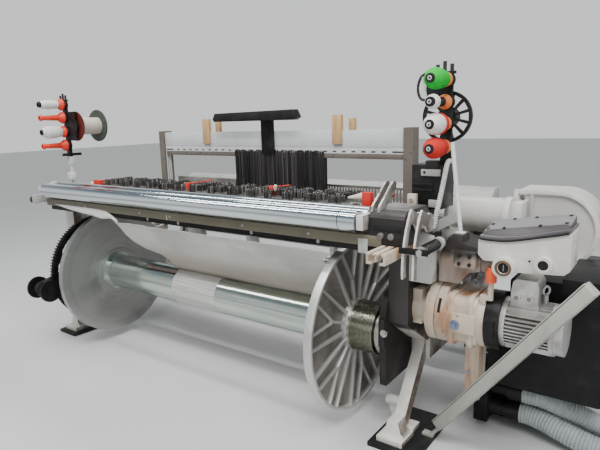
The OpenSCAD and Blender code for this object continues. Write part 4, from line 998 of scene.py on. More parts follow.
class LOOM_OT_bobbins(bpy.types.Operator):
    """Tapered bobbins of both selvedge stands"""

    bl_idname = "loom.bobbins"
    bl_label = "Selvedge bobbins"

    def execute(self, context):
        for side, x, y, base_r, rows in (
            ("right", 1.375, 0.080, 0.030, RIGHT_BOBBINS),
            ("left", -1.235, -0.030, 0.038, LEFT_BOBBINS),
        ):
            right = side == "right"
            base = (
                (0.0, 0.007), (0.0, base_r - 0.002), (0.002, base_r), (0.010, base_r),
                (0.014, base_r - 0.003), (0.026, base_r * 0.72), (0.038, 0.0205), (0.040, 0.012),
            )
            for number, (z, yarn_r, yarn) in enumerate(rows, 1):
                parts = [
                    ("base", "base_orange" if right else "core_red", base, 40, 35.0),
                    ("core", "black_part" if right or yarn else "core_red", CORE, 32, 35.0),
                ]
                if right:
                    parts.append(("nose", "nose_grey", NOSE, 24, 35.0))
                if right and yarn in OLD_THREAD:
                    parts.append(("rest", *OLD_THREAD[yarn], 40, 60.0))
                if yarn:
                    wound = [(way, yarn_r * share) for way, share in WINDING]
                    wound = [(0.0225, 0.021), *wound, (0.159, 0.018), (0.160, 0.0145)]
                    parts.append(("yarn", yarn, wound, 48, 60.0))
                for part, finish, profile, segments, smooth in parts:
                    bm = bmesh.new()
                    add_turned(bm, at(x, y, z), (0, -1, 0), profile, segments)
                    finish_piece(
                        f"{side}_bobbin_{number}_{part}", bm, finish, "bobbins", smooth,
                        replaces=right and number == 1 and part == "base",
                    )
        return {"FINISHED"}


# Stop motion: drop wires on their rails


class LOOM_OT_drop_wires(bpy.types.Operator):
    """Thin drop wires hanging in bunches on the six rails"""

    bl_idname = "loom.drop_wires"
    bl_label = "Drop wires"

    def execute(self, context):
        chance = random.Random(SEED)
        rail_left, rail_y, rail_z, rail_pitch = -1.000, 0.050, 0.985, 0.036
        bunches, bunch_pitch = 14, 0.136
        half, length, notch = 0.0055, 0.146, 0.004
        count = detail_settings().blades_per_bunch
        bm = bmesh.new()
        for i in range(6):
            y = rail_y + i * rail_pitch
            for k in range(bunches):
                width = (70 + 24 * math.sin(math.radians(k * 97 + i * 61))) / 1000
                shift = 0.016 * math.sin(math.radians(k * 53 + i * 131))
                start = rail_left + 0.060 + k * bunch_pitch + shift
                for n in range(count):
                    x = start + (n + chance.uniform(0.2, 0.8)) / count * width
                    top = rail_z + 0.060 - chance.random() ** 2 * 0.012
                    outline = [
                        (-half, top - length), (half, top - length), (half, top - notch),
                        (half * 0.4, top), (-half * 0.4, top), (-half, top - notch),
                    ]
                    thick = chance.uniform(0.0012, 0.0030)
                    add_plate(bm, [(x, y + a, b) for a, b in outline], (thick, 0, 0))
        finish_piece("drop_wire_bunches", bm, "drop_steel", "drop_wires", replaces=True)
        return {"FINISHED"}


# Back rest


def add_coil(bm, start, radius, wire, turns, length, sides=10, steps=28):
    """A coil spring whose axis runs along Y."""
    points = []
    for k in range(int(turns * steps) + 1):
        angle = math.tau * k / steps
        points.append(start + Vector((
            radius * math.cos(angle), length * k / steps / turns, radius * math.sin(angle),
        )))
    last = len(points) - 1
    rings = []
    for i, point in enumerate(points):
        way = (points[min(i + 1, last)] - points[max(i - 1, 0)]).normalized()
        out = point - start
        out.y = 0
        out.normalize()
        side = way.cross(out).normalized()
        rings.append([
            bm.verts.new(point + (out * math.cos(a) + side * math.sin(a)) * wire)
            for a in [math.tau * n / sides for n in range(sides)]
        ])
    add_skin(bm, rings)


class LOOM_OT_spring(bpy.types.Operator):
    """Coil spring of the back rest with its rod, washers and nuts"""

    bl_idname = "loom.spring"
    bl_label = "Tension spring"

    def execute(self, context):
        x, z = 1.430, 0.905
        bm = bmesh.new()
        add_coil(bm, at(x, -0.238, z), 0.0193, 0.0026, 7.5, 0.118)
        finish_piece("coil_spring", bm, "spring_steel", "tension_spring", 60.0, True)
        bm = bmesh.new()
        for start, end, radius, segments, bevel in (
            (-0.2715, -0.050, 0.007, 24, 0.001), (-0.2715, -0.266, 0.022, 32, 0.0008),
            (-0.266, -0.242, 0.0150, 24, 0.002), (-0.1235, -0.1185, 0.022, 32, 0.0008),
        ):
            add_rod(bm, at(x, start, z), at(x, end, z), radius, segments, bevel)
        add_hex(bm, at(x, -0.2805, z), at(x, -0.290, z), 0.025)
        finish_piece("spring_rod", bm, "worn_steel", "tension_spring")
        return {"FINISHED"}


# Leader cloth: its fall from the cross beam as (y, z), its left edge as (height, x), and its
# turned up end as (x, lower edge, upper edge)


CLOTH_FALL = (
    (-0.2385, 0.8465), (-0.231, 0.8415), (-0.2165, 0.805), (-0.1975, 0.763), (-0.1745, 0.726),
    (-0.148, 0.6885), (-0.117, 0.654), (-0.086, 0.621), (-0.056, 0.588),
)
CLOTH_EDGE = (
    (0.850, -0.500), (0.835, -0.462), (0.743, -0.411), (0.700, -0.361), (0.676, -0.275),
    (0.615, -0.200), (0.400, -0.212),
)
TURNED_END = (
    (-1.092, 0.9055, 0.9060), (-1.020, 0.8930, 0.9075), (-0.966, 0.8850, 0.9080),
    (-0.880, 0.8770, 0.9080), (-0.801, 0.8695, 0.9075), (-0.694, 0.8645, 0.9070),
    (-0.604, 0.8530, 0.9040), (-0.556, 0.8570, 0.9010), (-0.512, 0.8600, 0.8860),
    (-0.480, 0.8470, 0.8700), (-0.446, 0.8445, 0.8520),
)


def cloth_profile():
    """The sheet's fall from its top edge to the barrel, as (y, z, distance along it)."""
    wrap = 0.1100
    fall = list(CLOTH_FALL)
    for k in range(15):
        angle = math.radians(106 - k * 6)
        fall.append((wrap * math.cos(angle), BEAM_Z + wrap * math.sin(angle)))
    out, way = [(*fall[0], 0.0)], 0.0
    for (y0, z0), (y, z) in zip(fall, fall[1:]):
        way += math.hypot(y - y0, z - z0)
        out.append((y, z, way))
    return out


def cloth_left(z):
    """Left end of the hanging sheet at a height."""
    for (z1, x1), (z0, x0) in zip(CLOTH_EDGE, CLOTH_EDGE[1:]):
        if z >= z0:
            return x0 + (x1 - x0) * min(1.0, (z - z0) / (z1 - z0))
    return CLOTH_EDGE[-1][1]


def cloth_right(z):
    """Right end of the hanging sheet at a height."""
    return 1.012 if z > 0.828 else 0.966 if z > 0.70 else 0.948


class LOOM_OT_leader_cloth(bpy.types.Operator):
    """Slack leader cloth below the cross beam, its left end turned up"""

    bl_idname = "loom.leader_cloth"
    bl_label = "Leader cloth"

    def execute(self, context):
        columns = 150
        profile = cloth_profile()

        def hanging(column, row):
            y, z, way = profile[row]
            x = cloth_left(z) + (cloth_right(z) - cloth_left(z)) * column / columns
            slack = math.sin(min(1.0, way / 0.34) * math.pi)
            fold = 0.0035 * math.sin(x * 9.0 + way * 14.0) + 0.002 * math.sin(x * 31.0 + way * 9.0)
            lift = 0.0015 * math.sin(x * 17.0) + 0.001 * math.sin(x * 53.0 + 1.0)
            rise = slack * fold * 0.6 + (lift if way < 0.02 else 0)
            return at(x, y + slack * fold, z + rise)

        bm = bmesh.new()
        area = add_sheet(bm, columns, len(profile) - 1, hanging)
        sheet = finish_piece("hanging_leader", bm, "leader_cotton", "leader_cloth", 180.0, True)

        def turned_up(column, row):
            x, low, high = TURNED_END[column]
            t = row / 6
            bulge = 0.004 * math.sin(math.pi * t) + 0.0015 * math.sin(x * 40 + t * 5)
            return at(x, -0.2325 - bulge, low + (high - low) * t)

        bm = bmesh.new()
        area = add_sheet(bm, len(TURNED_END) - 1, 6, turned_up)
        flap = finish_piece("turned_up_leader", bm, "leader_cotton", "leader_cloth", 180.0)
        return {"FINISHED"}


# Heald frames


class LOOM_OT_heald_frames(bpy.types.Operator):
    """Three heald frames: slats, hooks, side braces, bars and the bunched healds"""

    bl_idname = "loom.heald_frames"
    bl_label = "Heald frames"

    def execute(self, context):
        chance = random.Random(SEED + 1)
        wires = detail_settings().heald_wires
        left, right, brace, top = -0.998, 0.984, 0.034, 1.330
        first_y, pitch_y = 0.600, 0.016
        low_x, high_x = left + brace, right - brace
        pitch, width, slot = 0.064, 0.018, 0.027
        hooks = int((high_x - low_x - width - 2 * pitch / 3) / pitch)
        first = low_x + (high_x - low_x - width - hooks * pitch) / 2
        for i in range(3):
            y = first_y + i * pitch_y
            number = i + 1
            node = f"heald_frame_{number}"
            bm = bmesh.new()
            for z in (1.232, 0.760):
                add_block(bm, at(low_x, y, z), at(high_x, y + 0.010, z + 0.098), 0.0015)
                add_block(
                    bm, at(low_x, y - 0.0004, z + 0.0105), at(high_x, y + 0.0104, z + 0.0125),
                )
            for x in (left, high_x):
                add_block(bm, at(x, y, 0.750), at(x + brace, y + 0.010, top), 0.0012)
            finish_piece(f"heald_slats_{number}", bm, "heald_alloy", node, replaces=True)
            bm = bmesh.new()
            for low, high in ((1.168, 1.198), (0.888, 0.910)):
                add_block(bm, at(low_x, y + 0.002, low), at(high_x, y + 0.008, high), 0.003)
            add_block(bm, at(low_x, y + 0.0072, 1.1985), at(high_x, y + 0.0082, 1.216))
            for k in range(hooks + 1):
                x = first + k * pitch
                add_block(
                    bm, at(x, y + 0.0015, 0.856), at(x + width, y + 0.0085, 0.892), 0.001, 1,
                )
            finish_piece(f"heald_bars_{number}", bm, "guide_brown", node)
            bm = bmesh.new()
            for low, high in ((1.213, 1.2315), (1.197, 1.2025)):
                add_block(bm, at(low_x, y + 0.001, low), at(high_x, y + 0.007, high))
            for k in range(hooks):
                x = first + k * pitch
                add_block(bm, at(x + slot, y + 0.001, 1.202), at(x + pitch, y + 0.007, 1.2135))
            finish_piece(f"heald_hooks_{number}", bm, "heald_alloy", node)
            bm = bmesh.new()
            add_block(bm, at(-0.274, y + 0.0042, 0.914), at(0.434, y + 0.0060, 1.167))
            for k in range(wires):
                x = -0.276 + 0.712 * (k + chance.uniform(0.25, 0.75)) / wires
                lean = chance.uniform(-0.002, 0.002)
                wide = chance.uniform(0.0024, 0.0052)
                near = y - chance.uniform(0.0015, 0.0035)
                flare = (x - 0.08) * 0.035
                end = chance.uniform(1.205, 1.216)
                outline = [
                    (x + flare, 0.912), (x + wide + flare, 0.912), (x + wide + lean, 1.046),
                    (x + wide, end), (x, end), (x + lean, 1.046),
                ]
                add_plate(bm, [(a, near, b) for a, b in outline], (0, 0.0035, 0))
            finish_piece(f"healds_{number}", bm, "heald_steel", node)
        return {"FINISHED"}


# Castings: CAD nodes with rounded edges, their finish and the edge's width


CAST_NODES = {
    "right_side_frame": ("frame_oily", 0.004), "left_side_frame": ("frame_white", 0.004),
    "lever_casting": ("light_grey", 0.004), "bridge_casting": ("bridge_cream", 0.004),
    "gearbox": ("cream", 0.003), "adaptor_ring": ("black_part", 0.002),
    "cream_housing": ("cream_clean", 0.006), "housing_lid": ("lid_grey", 0.003),
    "side_cover": ("white_cover", 0.006), "shaft_housing": ("white_cover", 0.006),
    "black_covers": ("black_cover", 0.006), "terminal_box": ("motor_alloy", 0.003),
    "cable_duct": ("duct_grey", 0.002), "right_flange": ("rib_alloy", 0.0025),
    "floor_pads": ("black_rubber", 0.003), "profile_rail": ("cream", 0.0012),
    "breast_beam": ("light_grey", 0.003), "frame_spacers": ("tan_wood", 0.0015),
    "top_bar": ("black_part", 0.002), "stop_motion_ends": ("red_block", 0.0025),
}


def on_clamp_plate(x, y, z, reach):
    """Whether a place lies on the plate that clamps the back rest's levers."""
    return x > 1.34 and y < -0.2715 and abs(z - 0.905) < reach


class LOOM_OT_castings(bpy.types.Operator):
    """Castings and covers with the rounded edges of the real ones"""

    bl_idname = "loom.castings"
    bl_label = "Castings"

    def execute(self, context):
        for node, (finish, width) in CAST_NODES.items():
            soften(node, finish, width)
        soften(
            "right_creel", ("black_part", "pole_white"), 0.0015,
            lambda x, y, z: 1 if x > 1.43 else 0,
            lambda x, y, z: (1.285 if x < 1.29 and z > 1.45 else 1.243 if x < 1.21 else x, y, z),
        )
        soften(
            "back_rest_bracket", ("light_grey", "black_part"), 0.003,
            lambda x, y, z: 1 if x < -1.2755 else 0,
        )
        soften(
            "left_creel", ("black_part", "pole_white"), 0.0015,
            lambda x, y, z: 1 if z < 1.195 else 0,
        )
        soften(
            "head_block", ("dark_iron", "worn_steel", "head_cover", "dull_steel"), 0.003,
            lambda x, y, z: 3 if y < -0.229 else 1 if x < 1.2365 and z > 1.036 else
            2 if z > 0.992 else 0,
        )
        soften(
            "back_rest_arms", ("arm_white", "black_part", "worn_steel"), 0.0015,
            lambda x, y, z: 1 if on_clamp_plate(x, y, z, 0.0235) else
            2 if abs(y + 0.13) < 0.026 and 1.19 < x < 1.35 else 0,
            lambda x, y, z: (
                x, y, 0.905 + (z - 0.905) * 0.5 if on_clamp_plate(x, y, z, 0.024) else z,
            ),
        )
        return {"FINISHED"}


# Small parts. A row holds the shape's kind, its two corners or ends and then the values of the
# function that adds it


SHAPES = {"block": add_block, "rod": add_rod, "hex": add_hex}


def add_shapes(bm, *rows):
    """Adds blocks, rods and bolt heads from rows of values."""
    for kind, start, end, *values in rows:
        SHAPES[kind](bm, at(*start), at(*end), *values)


class LOOM_OT_beam_end(bpy.types.Operator):
    """Right end of the warp beam: grooved cylinder, rings, and the dark brackets of the beam"""

    bl_idname = "loom.beam_end"
    bl_label = "Beam end"

    def execute(self, context):
        grooved = [(1.0150, 0.045), (1.0150, 0.121), (1.0250, 0.121), (1.0252, 0.1170)]
        for k in range(17):
            x = 1.030 + k * 0.0064
            grooved += [(x, 0.117), (x + 0.0006, 0.1154), (x + 0.0016, 0.1154), (x + 0.0022, 0.117)]
        grooved += [(1.1400, 0.1170), (1.1415, 0.1155), (1.1415, 0.098), (1.1500, 0.098)]
        polished = [
            (1.1495, 0.045), (1.1495, 0.107), (1.1505, 0.1085), (1.1700, 0.1085), (1.1712, 0.107),
            (1.1712, 0.098),
        ]
        copper = [
            (1.1712, 0.045), (1.1712, 0.103), (1.1722, 0.104), (1.1878, 0.104), (1.1888, 0.103),
            (1.1888, 0.045),
        ]
        for name, finish, profile in (
            ("grooved_cylinder", "grooved_steel", grooved),
            ("polished_ring", "shaft_steel", polished), ("copper_ring", "copper_ring", copper),
        ):
            bm = bmesh.new()
            add_turned(bm, at(0, 0, BEAM_Z), (1, 0, 0), profile, 72)
            finish_piece(name, bm, finish, "grooved_hub", 30.0, name == "grooved_cylinder")
        bm = bmesh.new()
        outline = [(-0.128, 0.250), (-0.136, 0.300), (-0.136, 0.545)]
        for k in range(16):
            angle = math.radians(180 - k * 12)
            outline.append((-0.010 + 0.126 * math.cos(angle), 0.560 + 0.126 * math.sin(angle)))
        outline += [(0.116, 0.545), (0.150, 0.405), (0.130, 0.250)]
        add_plate(bm, [(1.1900, y, z) for y, z in outline], (0.0295, 0, 0))
        round_edges(bm, [e for e in bm.edges if e.calc_length() > 0.02], 0.004)
        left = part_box("beam_bearings")[0].x - ZERO_X
        add_shapes(
            bm, ("block", (1.190, -0.150, 0.430), (1.2195, -0.130, 0.560), 0.006),
            ("block", (left, -0.100, 0.250), (left + 0.040, 0.230, 0.560), 0.006),
        )
        finish_piece("beam_brackets", bm, "dark_iron", "beam_bearings", replaces=True)
        bm = bmesh.new()
        add_rod(bm, at(1.2195, -0.128, 0.497), at(1.2245, -0.128, 0.497), 0.004)
        add_turned(bm, at(1.2195, -0.1515, 0.500), (0, -1, 0), [
            (0.0, 0.0), (0.0, 0.016), (0.003, 0.016), (0.003, 0.011), (0.010, 0.010), (0.011, 0.0),
        ], 28)
        finish_piece("bracket_nut", bm, "worn_steel", "beam_bearings")
        return {"FINISHED"}


class LOOM_OT_cross_beam(bpy.types.Operator):
    """Rear cross beam: olive channel, a black block in its recess as painted shade, end plate and
    bolts
    """

    bl_idname = "loom.cross_beam"
    bl_label = "Cross beam"

    def execute(self, context):
        left, right = (corner.x - ZERO_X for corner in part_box("rear_cross_beam"))
        bm = bmesh.new()
        add_block(bm, at(left, -0.232, 0.893), at(right, -0.110, 0.937), 0.003)
        finish_piece("olive_beam", bm, "olive", "rear_cross_beam", replaces=True)
        # Black block set back below the olive face: painted shade in the channel's recess.
        bm = bmesh.new()
        add_block(bm, at(left, -0.203, 0.8615), at(right, -0.110, 0.895), 0.002)
        finish_piece("beam_recess_shade", bm, "gasket", "rear_cross_beam")
        bm = bmesh.new()
        add_shapes(
            bm, ("block", (1.146, -0.2365, 0.862), (1.189, -0.2315, 0.922), 0.0015),
            ("block", (-0.020, -0.2335, 0.895), (-0.012, -0.2315, 0.922), 0.0005),
        )
        for x in (-0.760, -0.240, 0.010, 0.520, 0.900):
            add_shapes(
                bm, ("rod", (x, -0.2315, 0.915), (x, -0.2345, 0.915), 0.0055, 16, 0.0008),
                ("rod", (x + 0.030, -0.203, 0.878), (x + 0.030, -0.2065, 0.878), 0.009, 16, 0.001),
            )
        finish_piece("beam_fittings", bm, "light_grey", "rear_cross_beam")
        return {"FINISHED"}


class LOOM_OT_left_spool(bpy.types.Operator):
    """Left selvedge spool: yarn between a dark red and a grey green flange"""

    bl_idname = "loom.left_spool"
    bl_label = "Left spool"

    def execute(self, context):
        low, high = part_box("left_spool")
        big, length, bore = (high.z - low.z) / 2, high.y - low.y, 0.010
        far, wound = length - 0.008, length - 0.006
        for name, finish, profile in (
            ("spool_yarn", "yarn_beige", [
                (0.004, bore), (0.004, big * 0.52), (wound, big * 0.52), (wound, bore),
            ]),
            ("spool_near_flange", "spool_red", [
                (0.0, bore), (0.0, big * 0.90), (0.003, big * 0.905), (0.006, big * 0.90),
                (0.006, bore),
            ]),
            ("spool_far_flange", "spool_green", [
                (far, bore), (far, big * 0.99), (length - 0.004, big), (length, big * 0.99),
                (length, bore),
            ]),
        ):
            bm = bmesh.new()
            middle = Vector(((low.x + high.x) / 2, low.y, (low.z + high.z) / 2))
            add_turned(bm, middle, (0, 1, 0), profile, 56)
            finish_piece(name, bm, finish, "left_spool", replaces=name == "spool_yarn")
        return {"FINISHED"}


def add_bar(bm, start, end, width, thick):
    """A flat bar between two points, its width upright."""
    run = end - start
    ahead = run.normalized()
    side = ahead.cross(Vector((0, 0, 1))).normalized()
    turn = Matrix((ahead, side, side.cross(ahead))).transposed().to_4x4()
    made = bmesh.ops.create_cube(bm, size=1.0)["verts"]
    bmesh.ops.scale(bm, vec=(run.length, thick, width), verts=made)
    bmesh.ops.transform(bm, matrix=Matrix.Translation((start + end) / 2) @ turn, verts=made)
    round_edges(bm, {e for v in made for e in v.link_edges}, 0.001, 1)


class LOOM_OT_stand_details(bpy.types.Operator):
    """Small brackets at the foot of the right selvedge stand"""

    bl_idname = "loom.stand_details"
    bl_label = "Stand details"

    def execute(self, context):
        bm = bmesh.new()
        add_shapes(
            bm, ("block", (1.288, 0.046, 1.150), (1.372, 0.0605, 1.178), 0.003),
            ("block", (1.322, 0.050, 1.018), (1.370, 0.0605, 1.050), 0.002),
        )
        add_bar(bm, at(1.352, 0.020, 0.935), at(1.470, 0.020, 1.000), 0.040, 0.010)
        add_bar(bm, at(1.268, 0.0950, 1.556), at(1.288, 0.0950, 1.478), 0.006, 0.004)
        finish_piece("pale_brackets", bm, "light_grey", "right_creel")
        bm = bmesh.new()
        add_shapes(
            bm, ("rod", (1.305, 0.0455, 1.165), (1.305, 0.0465, 1.165), 0.006, 18),
            ("block", (1.306, 0.050, 1.177), (1.362, 0.086, 1.214), 0.004),
            ("block", (1.250, 0.052, 1.110), (1.340, 0.0605, 1.120), 0.001),
            ("block", (1.250, 0.052, 1.085), (1.340, 0.0605, 1.095), 0.001),
        )
        hook = ((1.300, 1.572), (1.262, 1.558), (1.246, 1.512), (1.258, 1.470), (1.292, 1.458))
        line = smooth_path([at(x, 0.102, z) for x, z in hook], 0.006)
        add_tube(bm, line, lambda i: 0.0060, 8)
        finish_piece("dark_brackets", bm, "dark_iron", "right_creel")
        bm = bmesh.new()
        add_shapes(
            bm, ("rod", (1.724, -0.0712, 0.724), (1.724, -0.0700, 0.724), 0.0085, 20),
            ("rod", (1.768, -0.0712, 0.724), (1.768, -0.0700, 0.724), 0.0075, 20),
            ("rod", (1.252, 0.0295, 1.050), (1.252, 0.0285, 1.050), 0.004, 12),
        )
        finish_piece("gland_holes", bm, "dull_steel", "terminal_box")
        return {"FINISHED"}


class LOOM_OT_housing_details(bpy.types.Operator):
    """Gasket and screws of the grey lid, and the bosses' inserts"""

    bl_idname = "loom.housing_details"
    bl_label = "Housing details"

    def execute(self, context):
        seam = (
            (1.591, 0.9432), (1.618, 0.9405), (1.662, 0.9405), (1.695, 0.9440), (1.723, 0.9490),
            (1.762, 0.9580), (1.802, 0.9680), (1.850, 0.9790), (1.893, 0.9905),
        )
        bm = bmesh.new()
        line = smooth_path([at(x, -0.1030, z) for x, z in seam], 0.006)
        add_tube(bm, line, lambda i: 0.0042, 10)
        add_shapes(
            bm, ("rod", (1.820, -0.1225, 0.873), (1.820, -0.1205, 0.873), 0.0176),
            ("rod", (1.686, -0.1195, 0.845), (1.686, -0.1175, 0.845), 0.0198),
        )
        finish_piece("housing_gasket", bm, "gasket", "housing_lid")
        bm = bmesh.new()
        for x, y in (
            (1.618, -0.030), (1.684, 0.018), (1.762, 0.018), (1.878, 0.008), (1.880, -0.080),
            (1.797, -0.088), (1.674, -0.088), (1.616, -0.080),
        ):
            place, normal = surface_below("housing_lid", x, y)
            add_rod(bm, place - normal * 0.002, place + normal * 0.003, 0.0065, 16, 0.0008)
        add_rod(bm, at(1.770, -0.102, 0.877), at(1.770, -0.099, 0.877), 0.004, 16)
        finish_piece("lid_screws", bm, "black_part", "housing_lid")
        bm = bmesh.new()
        add_turned(bm, at(1.686, -0.1285, 0.845), (0, 1, 0), [
            (0.004, 0.0200), (0.0, 0.0215), (0.0, 0.0270), (0.002, 0.0300), (0.004, 0.0300),
            (0.004, 0.0200),
        ], 40)
        finish_piece("boss_ring", bm, "boss_brown", "cream_housing")
        bm = bmesh.new()
        add_block(bm, at(1.6845, -0.1205, 0.833), at(1.6875, -0.1190, 0.857), 0.0005)
        finish_piece("boss_key", bm, "worn_steel", "cream_housing")
        return {"FINISHED"}


class LOOM_OT_drive_details(bpy.types.Operator):
    """Bolts and small parts of the gearbox and the head block"""

    bl_idname = "loom.drive_details"
    bl_label = "Drive details"

    def execute(self, context):
        bm = bmesh.new()
        add_shapes(
            bm, ("rod", (1.516, -0.1395, 0.596), (1.516, -0.1365, 0.596), 0.0195, 32, 0.0008),
            ("hex", (1.516, -0.1395, 0.596), (1.516, -0.1475, 0.596), 0.019),
            ("hex", (1.550, -0.0465, 0.372), (1.550, -0.0545, 0.372), 0.017),
        )
        finish_piece("gearbox_bolts", bm, "blue_steel", "gearbox")
        bm = bmesh.new()
        # Painted shade: a thin black arc on the rim of the gearbox's round flange.
        add_sector(bm, 1.4385, 1.4500, 0.1240, 0.1256, 0.0, 0.600, 140.0, 27.0)
        for x in (1.514, 1.554):
            for z in (0.833, 0.864):
                add_hex(bm, at(x, -0.100, z), at(x, -0.106, z), 0.014)
        # Painted shade: a black plate in the head block's recess.
        add_block(bm, at(1.214, -0.2295, 0.957), at(1.332, -0.2270, 0.984), 0.001)
        finish_piece("shade_patches_and_bolts", bm, "gasket", "gearbox")
        bm = bmesh.new()
        add_shapes(
            bm, ("block", (1.630, -0.123, 0.570), (1.654, -0.113, 0.616), 0.002),
            ("block", (1.232, 0.036, 1.016), (1.272, 0.060, 1.072), 0.003),
            ("rod", (1.252, 0.036, 1.050), (1.252, 0.030, 1.050), 0.010, 24, 0.001),
        )
        finish_piece("pale_blocks", bm, "cone_cream", "gearbox")
        return {"FINISHED"}


class LOOM_OT_stop_motion_details(bpy.types.Operator):
    """Levers, cones and hooks of the warp stop motion"""

    bl_idname = "loom.stop_motion_details"
    bl_label = "Stop motion details"

    def execute(self, context):
        bm = bmesh.new()
        for (x, y, z), end in (
            ((-0.157, 0.060, 1.047), (0.041, 0.060, 1.078)),
            ((0.438, 0.100, 1.052), (0.557, 0.100, 1.070)),
        ):
            add_rod(bm, at(x, y, z), at(*end), 0.0032, 10)
            corner = Vector((0.012, 0.012, 0))
            add_block(bm, at(x, y, 1.000) - corner, at(x, y, z + 0.008) + corner, 0.002)
        finish_piece("red_levers", bm, "red_block", "stop_motion_ends")
        bm = bmesh.new()
        for place, axis, segments, profile in (
            ((1.0315, 0.016, 1.050), (-1, 0, -0.12), 28, [
                (0.0, 0.0), (0.0, 0.017), (0.020, 0.0165), (0.052, 0.010), (0.078, 0.0065),
                (0.080, 0.0),
            ]),
            ((-1.046, 0.016, 1.012), (1, 0, 0), 28, [
                (0.0, 0.0), (0.0, 0.016), (0.020, 0.0155), (0.050, 0.009), (0.070, 0.006),
                (0.072, 0.0),
            ]),
            ((0.500, 0.050, 1.046), (0.25, -0.2, 1), 20, [
                (0.0, 0.0), (0.0, 0.006), (0.018, 0.010), (0.028, 0.008), (0.032, 0.0),
            ]),
        ):
            add_turned(bm, at(*place), axis, profile, segments)
        finish_piece("cream_cones", bm, "cone_cream", "stop_motion_ends")
        bm = bmesh.new()
        for x in (-0.089, 0.513):
            hook = smooth_path([
                at(x - 0.010, 0.048, 0.998), at(x - 0.008, 0.000, 0.996),
                at(x, -0.018, 1.008), at(x + 0.006, -0.020, 1.036),
            ], 0.006)
            add_tube(bm, hook, lambda i: 0.0026, 8)
        for k in range(5):
            thread = smooth_path([
                at(1.030, 0.010 + k * 0.004, 1.010 + k * 0.006),
                at(0.985 - k * 0.004, 0.006, 1.022 - k * 0.003),
                at(0.940 + k * 0.006, 0.012, 1.002 + k * 0.004), at(0.905, 0.046, 1.000),
            ], 0.008)
            add_tube(bm, thread, lambda i: 0.0011, 6)
        finish_piece("thread_hooks", bm, "worn_steel", "stop_motion_rails")
        return {"FINISHED"}


class LOOM_OT_rear_blocks(bpy.types.Operator):
    """Smaller wooden blocks on the rearmost heald frame"""

    bl_idname = "loom.rear_blocks"
    bl_label = "Rear blocks"

    def execute(self, context):
        bm = bmesh.new()
        for x in (-0.475, 0.590):
            add_shapes(
                bm, ("block", (x, 0.6425, 1.300), (x + 0.040, 0.654, 1.398), 0.0012),
                ("block", (x, 0.631, 1.3305), (x + 0.040, 0.645, 1.398), 0.0012),
            )
        finish_piece(
            "rear_spacers", bm, "tan_wood", "frame_spacers",
            body=frame["nodes"]["heald_frame_3"]["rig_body"],
        )
        return {"FINISHED"}


NODE_FINISHES = {
    "frame_white": ("right_side_frame", "left_side_frame"),
    "black_rubber": ("floor_pads", "take_up_roller", "press_roller"),
    "olive": ("rear_cross_beam",),
    "light_grey": (
        "lower_cross_tubes", "breast_beam", "back_rest_bracket", "lever_casting", "sley",
    ),
    "guide_brown": ("harness_guides",),
    "dark_iron": ("beam_bearings", "let_off_bracket", "head_block", "adaptor_ring"),
    "cream": ("profile_rail", "bridge_casting", "gearbox"),
    "motor_alloy": ("motor", "terminal_box"),
    "oil_cap_red": ("oil_cap",),
    "cream_clean": ("cream_housing",),
    "lid_grey": ("housing_lid",),
    "white_cover": ("side_cover", "shaft_housing"),
    "black_cover": ("black_covers",),
    "duct_grey": ("cable_duct",),
    "hose_grey": ("hose_upper", "hose_lower"),
    "black_part": ("hose_connectors", "hose_cuffs", "right_creel", "left_creel", "top_bar"),
    "worn_steel": ("stop_motion_rails", "reed"),
    "drop_steel": ("drop_wires",),
    "red_block": ("stop_motion_ends",),
    "leader_cotton": ("leader_cloth",),
    "core_red": ("bobbins",),
    "wrap_white": ("wrapped_cable",),
    "heald_alloy": ("heald_frame_1", "heald_frame_2", "heald_frame_3"),
    "tan_wood": ("frame_spacers",),
    "shaft_steel": ("cloth_roller", "main_shaft"),
    "barrel_steel": ("beam_barrel",),
    "flange_alloy": ("left_flange",),
    "rib_alloy": ("right_flange",),
    "grooved_steel": ("grooved_hub",),
    "black_gear": ("ring_gear", "let_off_pinion", "tension_spring", "right_spool"),
    "roller_steel": ("front_back_roller", "rear_back_roller"),
    "arm_white": ("back_rest_arms",),
    "yarn_beige": ("left_spool",),
}


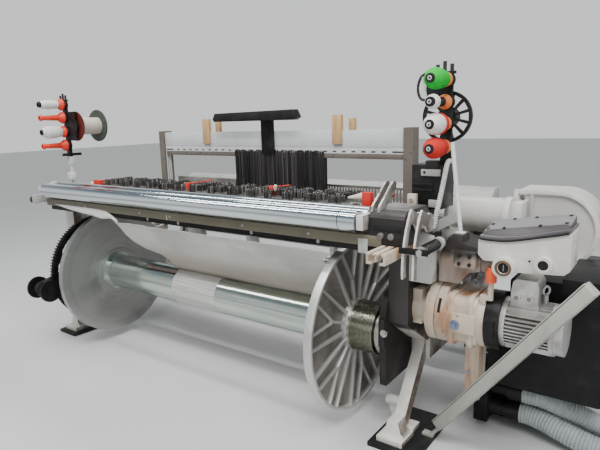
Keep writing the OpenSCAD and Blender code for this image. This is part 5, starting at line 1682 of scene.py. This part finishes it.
class LOOM_OT_finishes(bpy.types.Operator):
    """Finishes of the CAD nodes"""

    bl_idname = "loom.finishes"
    bl_label = "Finishes"

    def execute(self, context):
        for finish, nodes in NODE_FINISHES.items():
            dress(finish, *nodes)
        return {"FINISHED"}


# The operators, in the order in which they run
PIECES = (
    "camera", "hoses", "cable", "bobbins", "drop_wires", "spring", "leader_cloth", "heald_frames",
    "castings", "beam_end", "cross_beam", "left_spool", "stand_details", "housing_details",
    "drive_details", "stop_motion_details", "rear_blocks", "finishes", "stage",
)


class LOOM_PT_panel(bpy.types.Panel):
    """Lists the loom's pieces"""

    bl_idname = "LOOM_PT_panel"
    bl_label = "Power loom"
    bl_space_type = "VIEW_3D"
    bl_region_type = "UI"
    bl_category = "Loom"

    def draw(self, context):
        layout = self.layout
        for settings in (context.scene.loom_stage, context.scene.loom_detail):
            for key in settings.__annotations__:
                layout.prop(settings, key)
        for name in PIECES:
            layout.operator("loom." + name)


CLASSES = (
    LoomStageSettings, LoomDetailSettings, LOOM_OT_camera, LOOM_OT_stage, LOOM_OT_hoses,
    LOOM_OT_cable, LOOM_OT_bobbins, LOOM_OT_drop_wires, LOOM_OT_spring, LOOM_OT_leader_cloth,
    LOOM_OT_heald_frames, LOOM_OT_castings, LOOM_OT_beam_end, LOOM_OT_cross_beam,
    LOOM_OT_left_spool, LOOM_OT_stand_details, LOOM_OT_housing_details, LOOM_OT_drive_details,
    LOOM_OT_stop_motion_details, LOOM_OT_rear_blocks, LOOM_OT_finishes, LOOM_PT_panel,
)


def register():
    for made in CLASSES:
        bpy.utils.register_class(made)
    bpy.types.Scene.loom_stage = bpy.props.PointerProperty(type=LoomStageSettings)
    bpy.types.Scene.loom_detail = bpy.props.PointerProperty(type=LoomDetailSettings)


def unregister():
    del bpy.types.Scene.loom_detail
    del bpy.types.Scene.loom_stage
    for made in reversed(CLASSES):
        bpy.utils.unregister_class(made)


def main():
    register()
    make_finishes()
    for name in PIECES:
        getattr(bpy.ops.loom, name)()


if __name__ == "__main__":
    main()
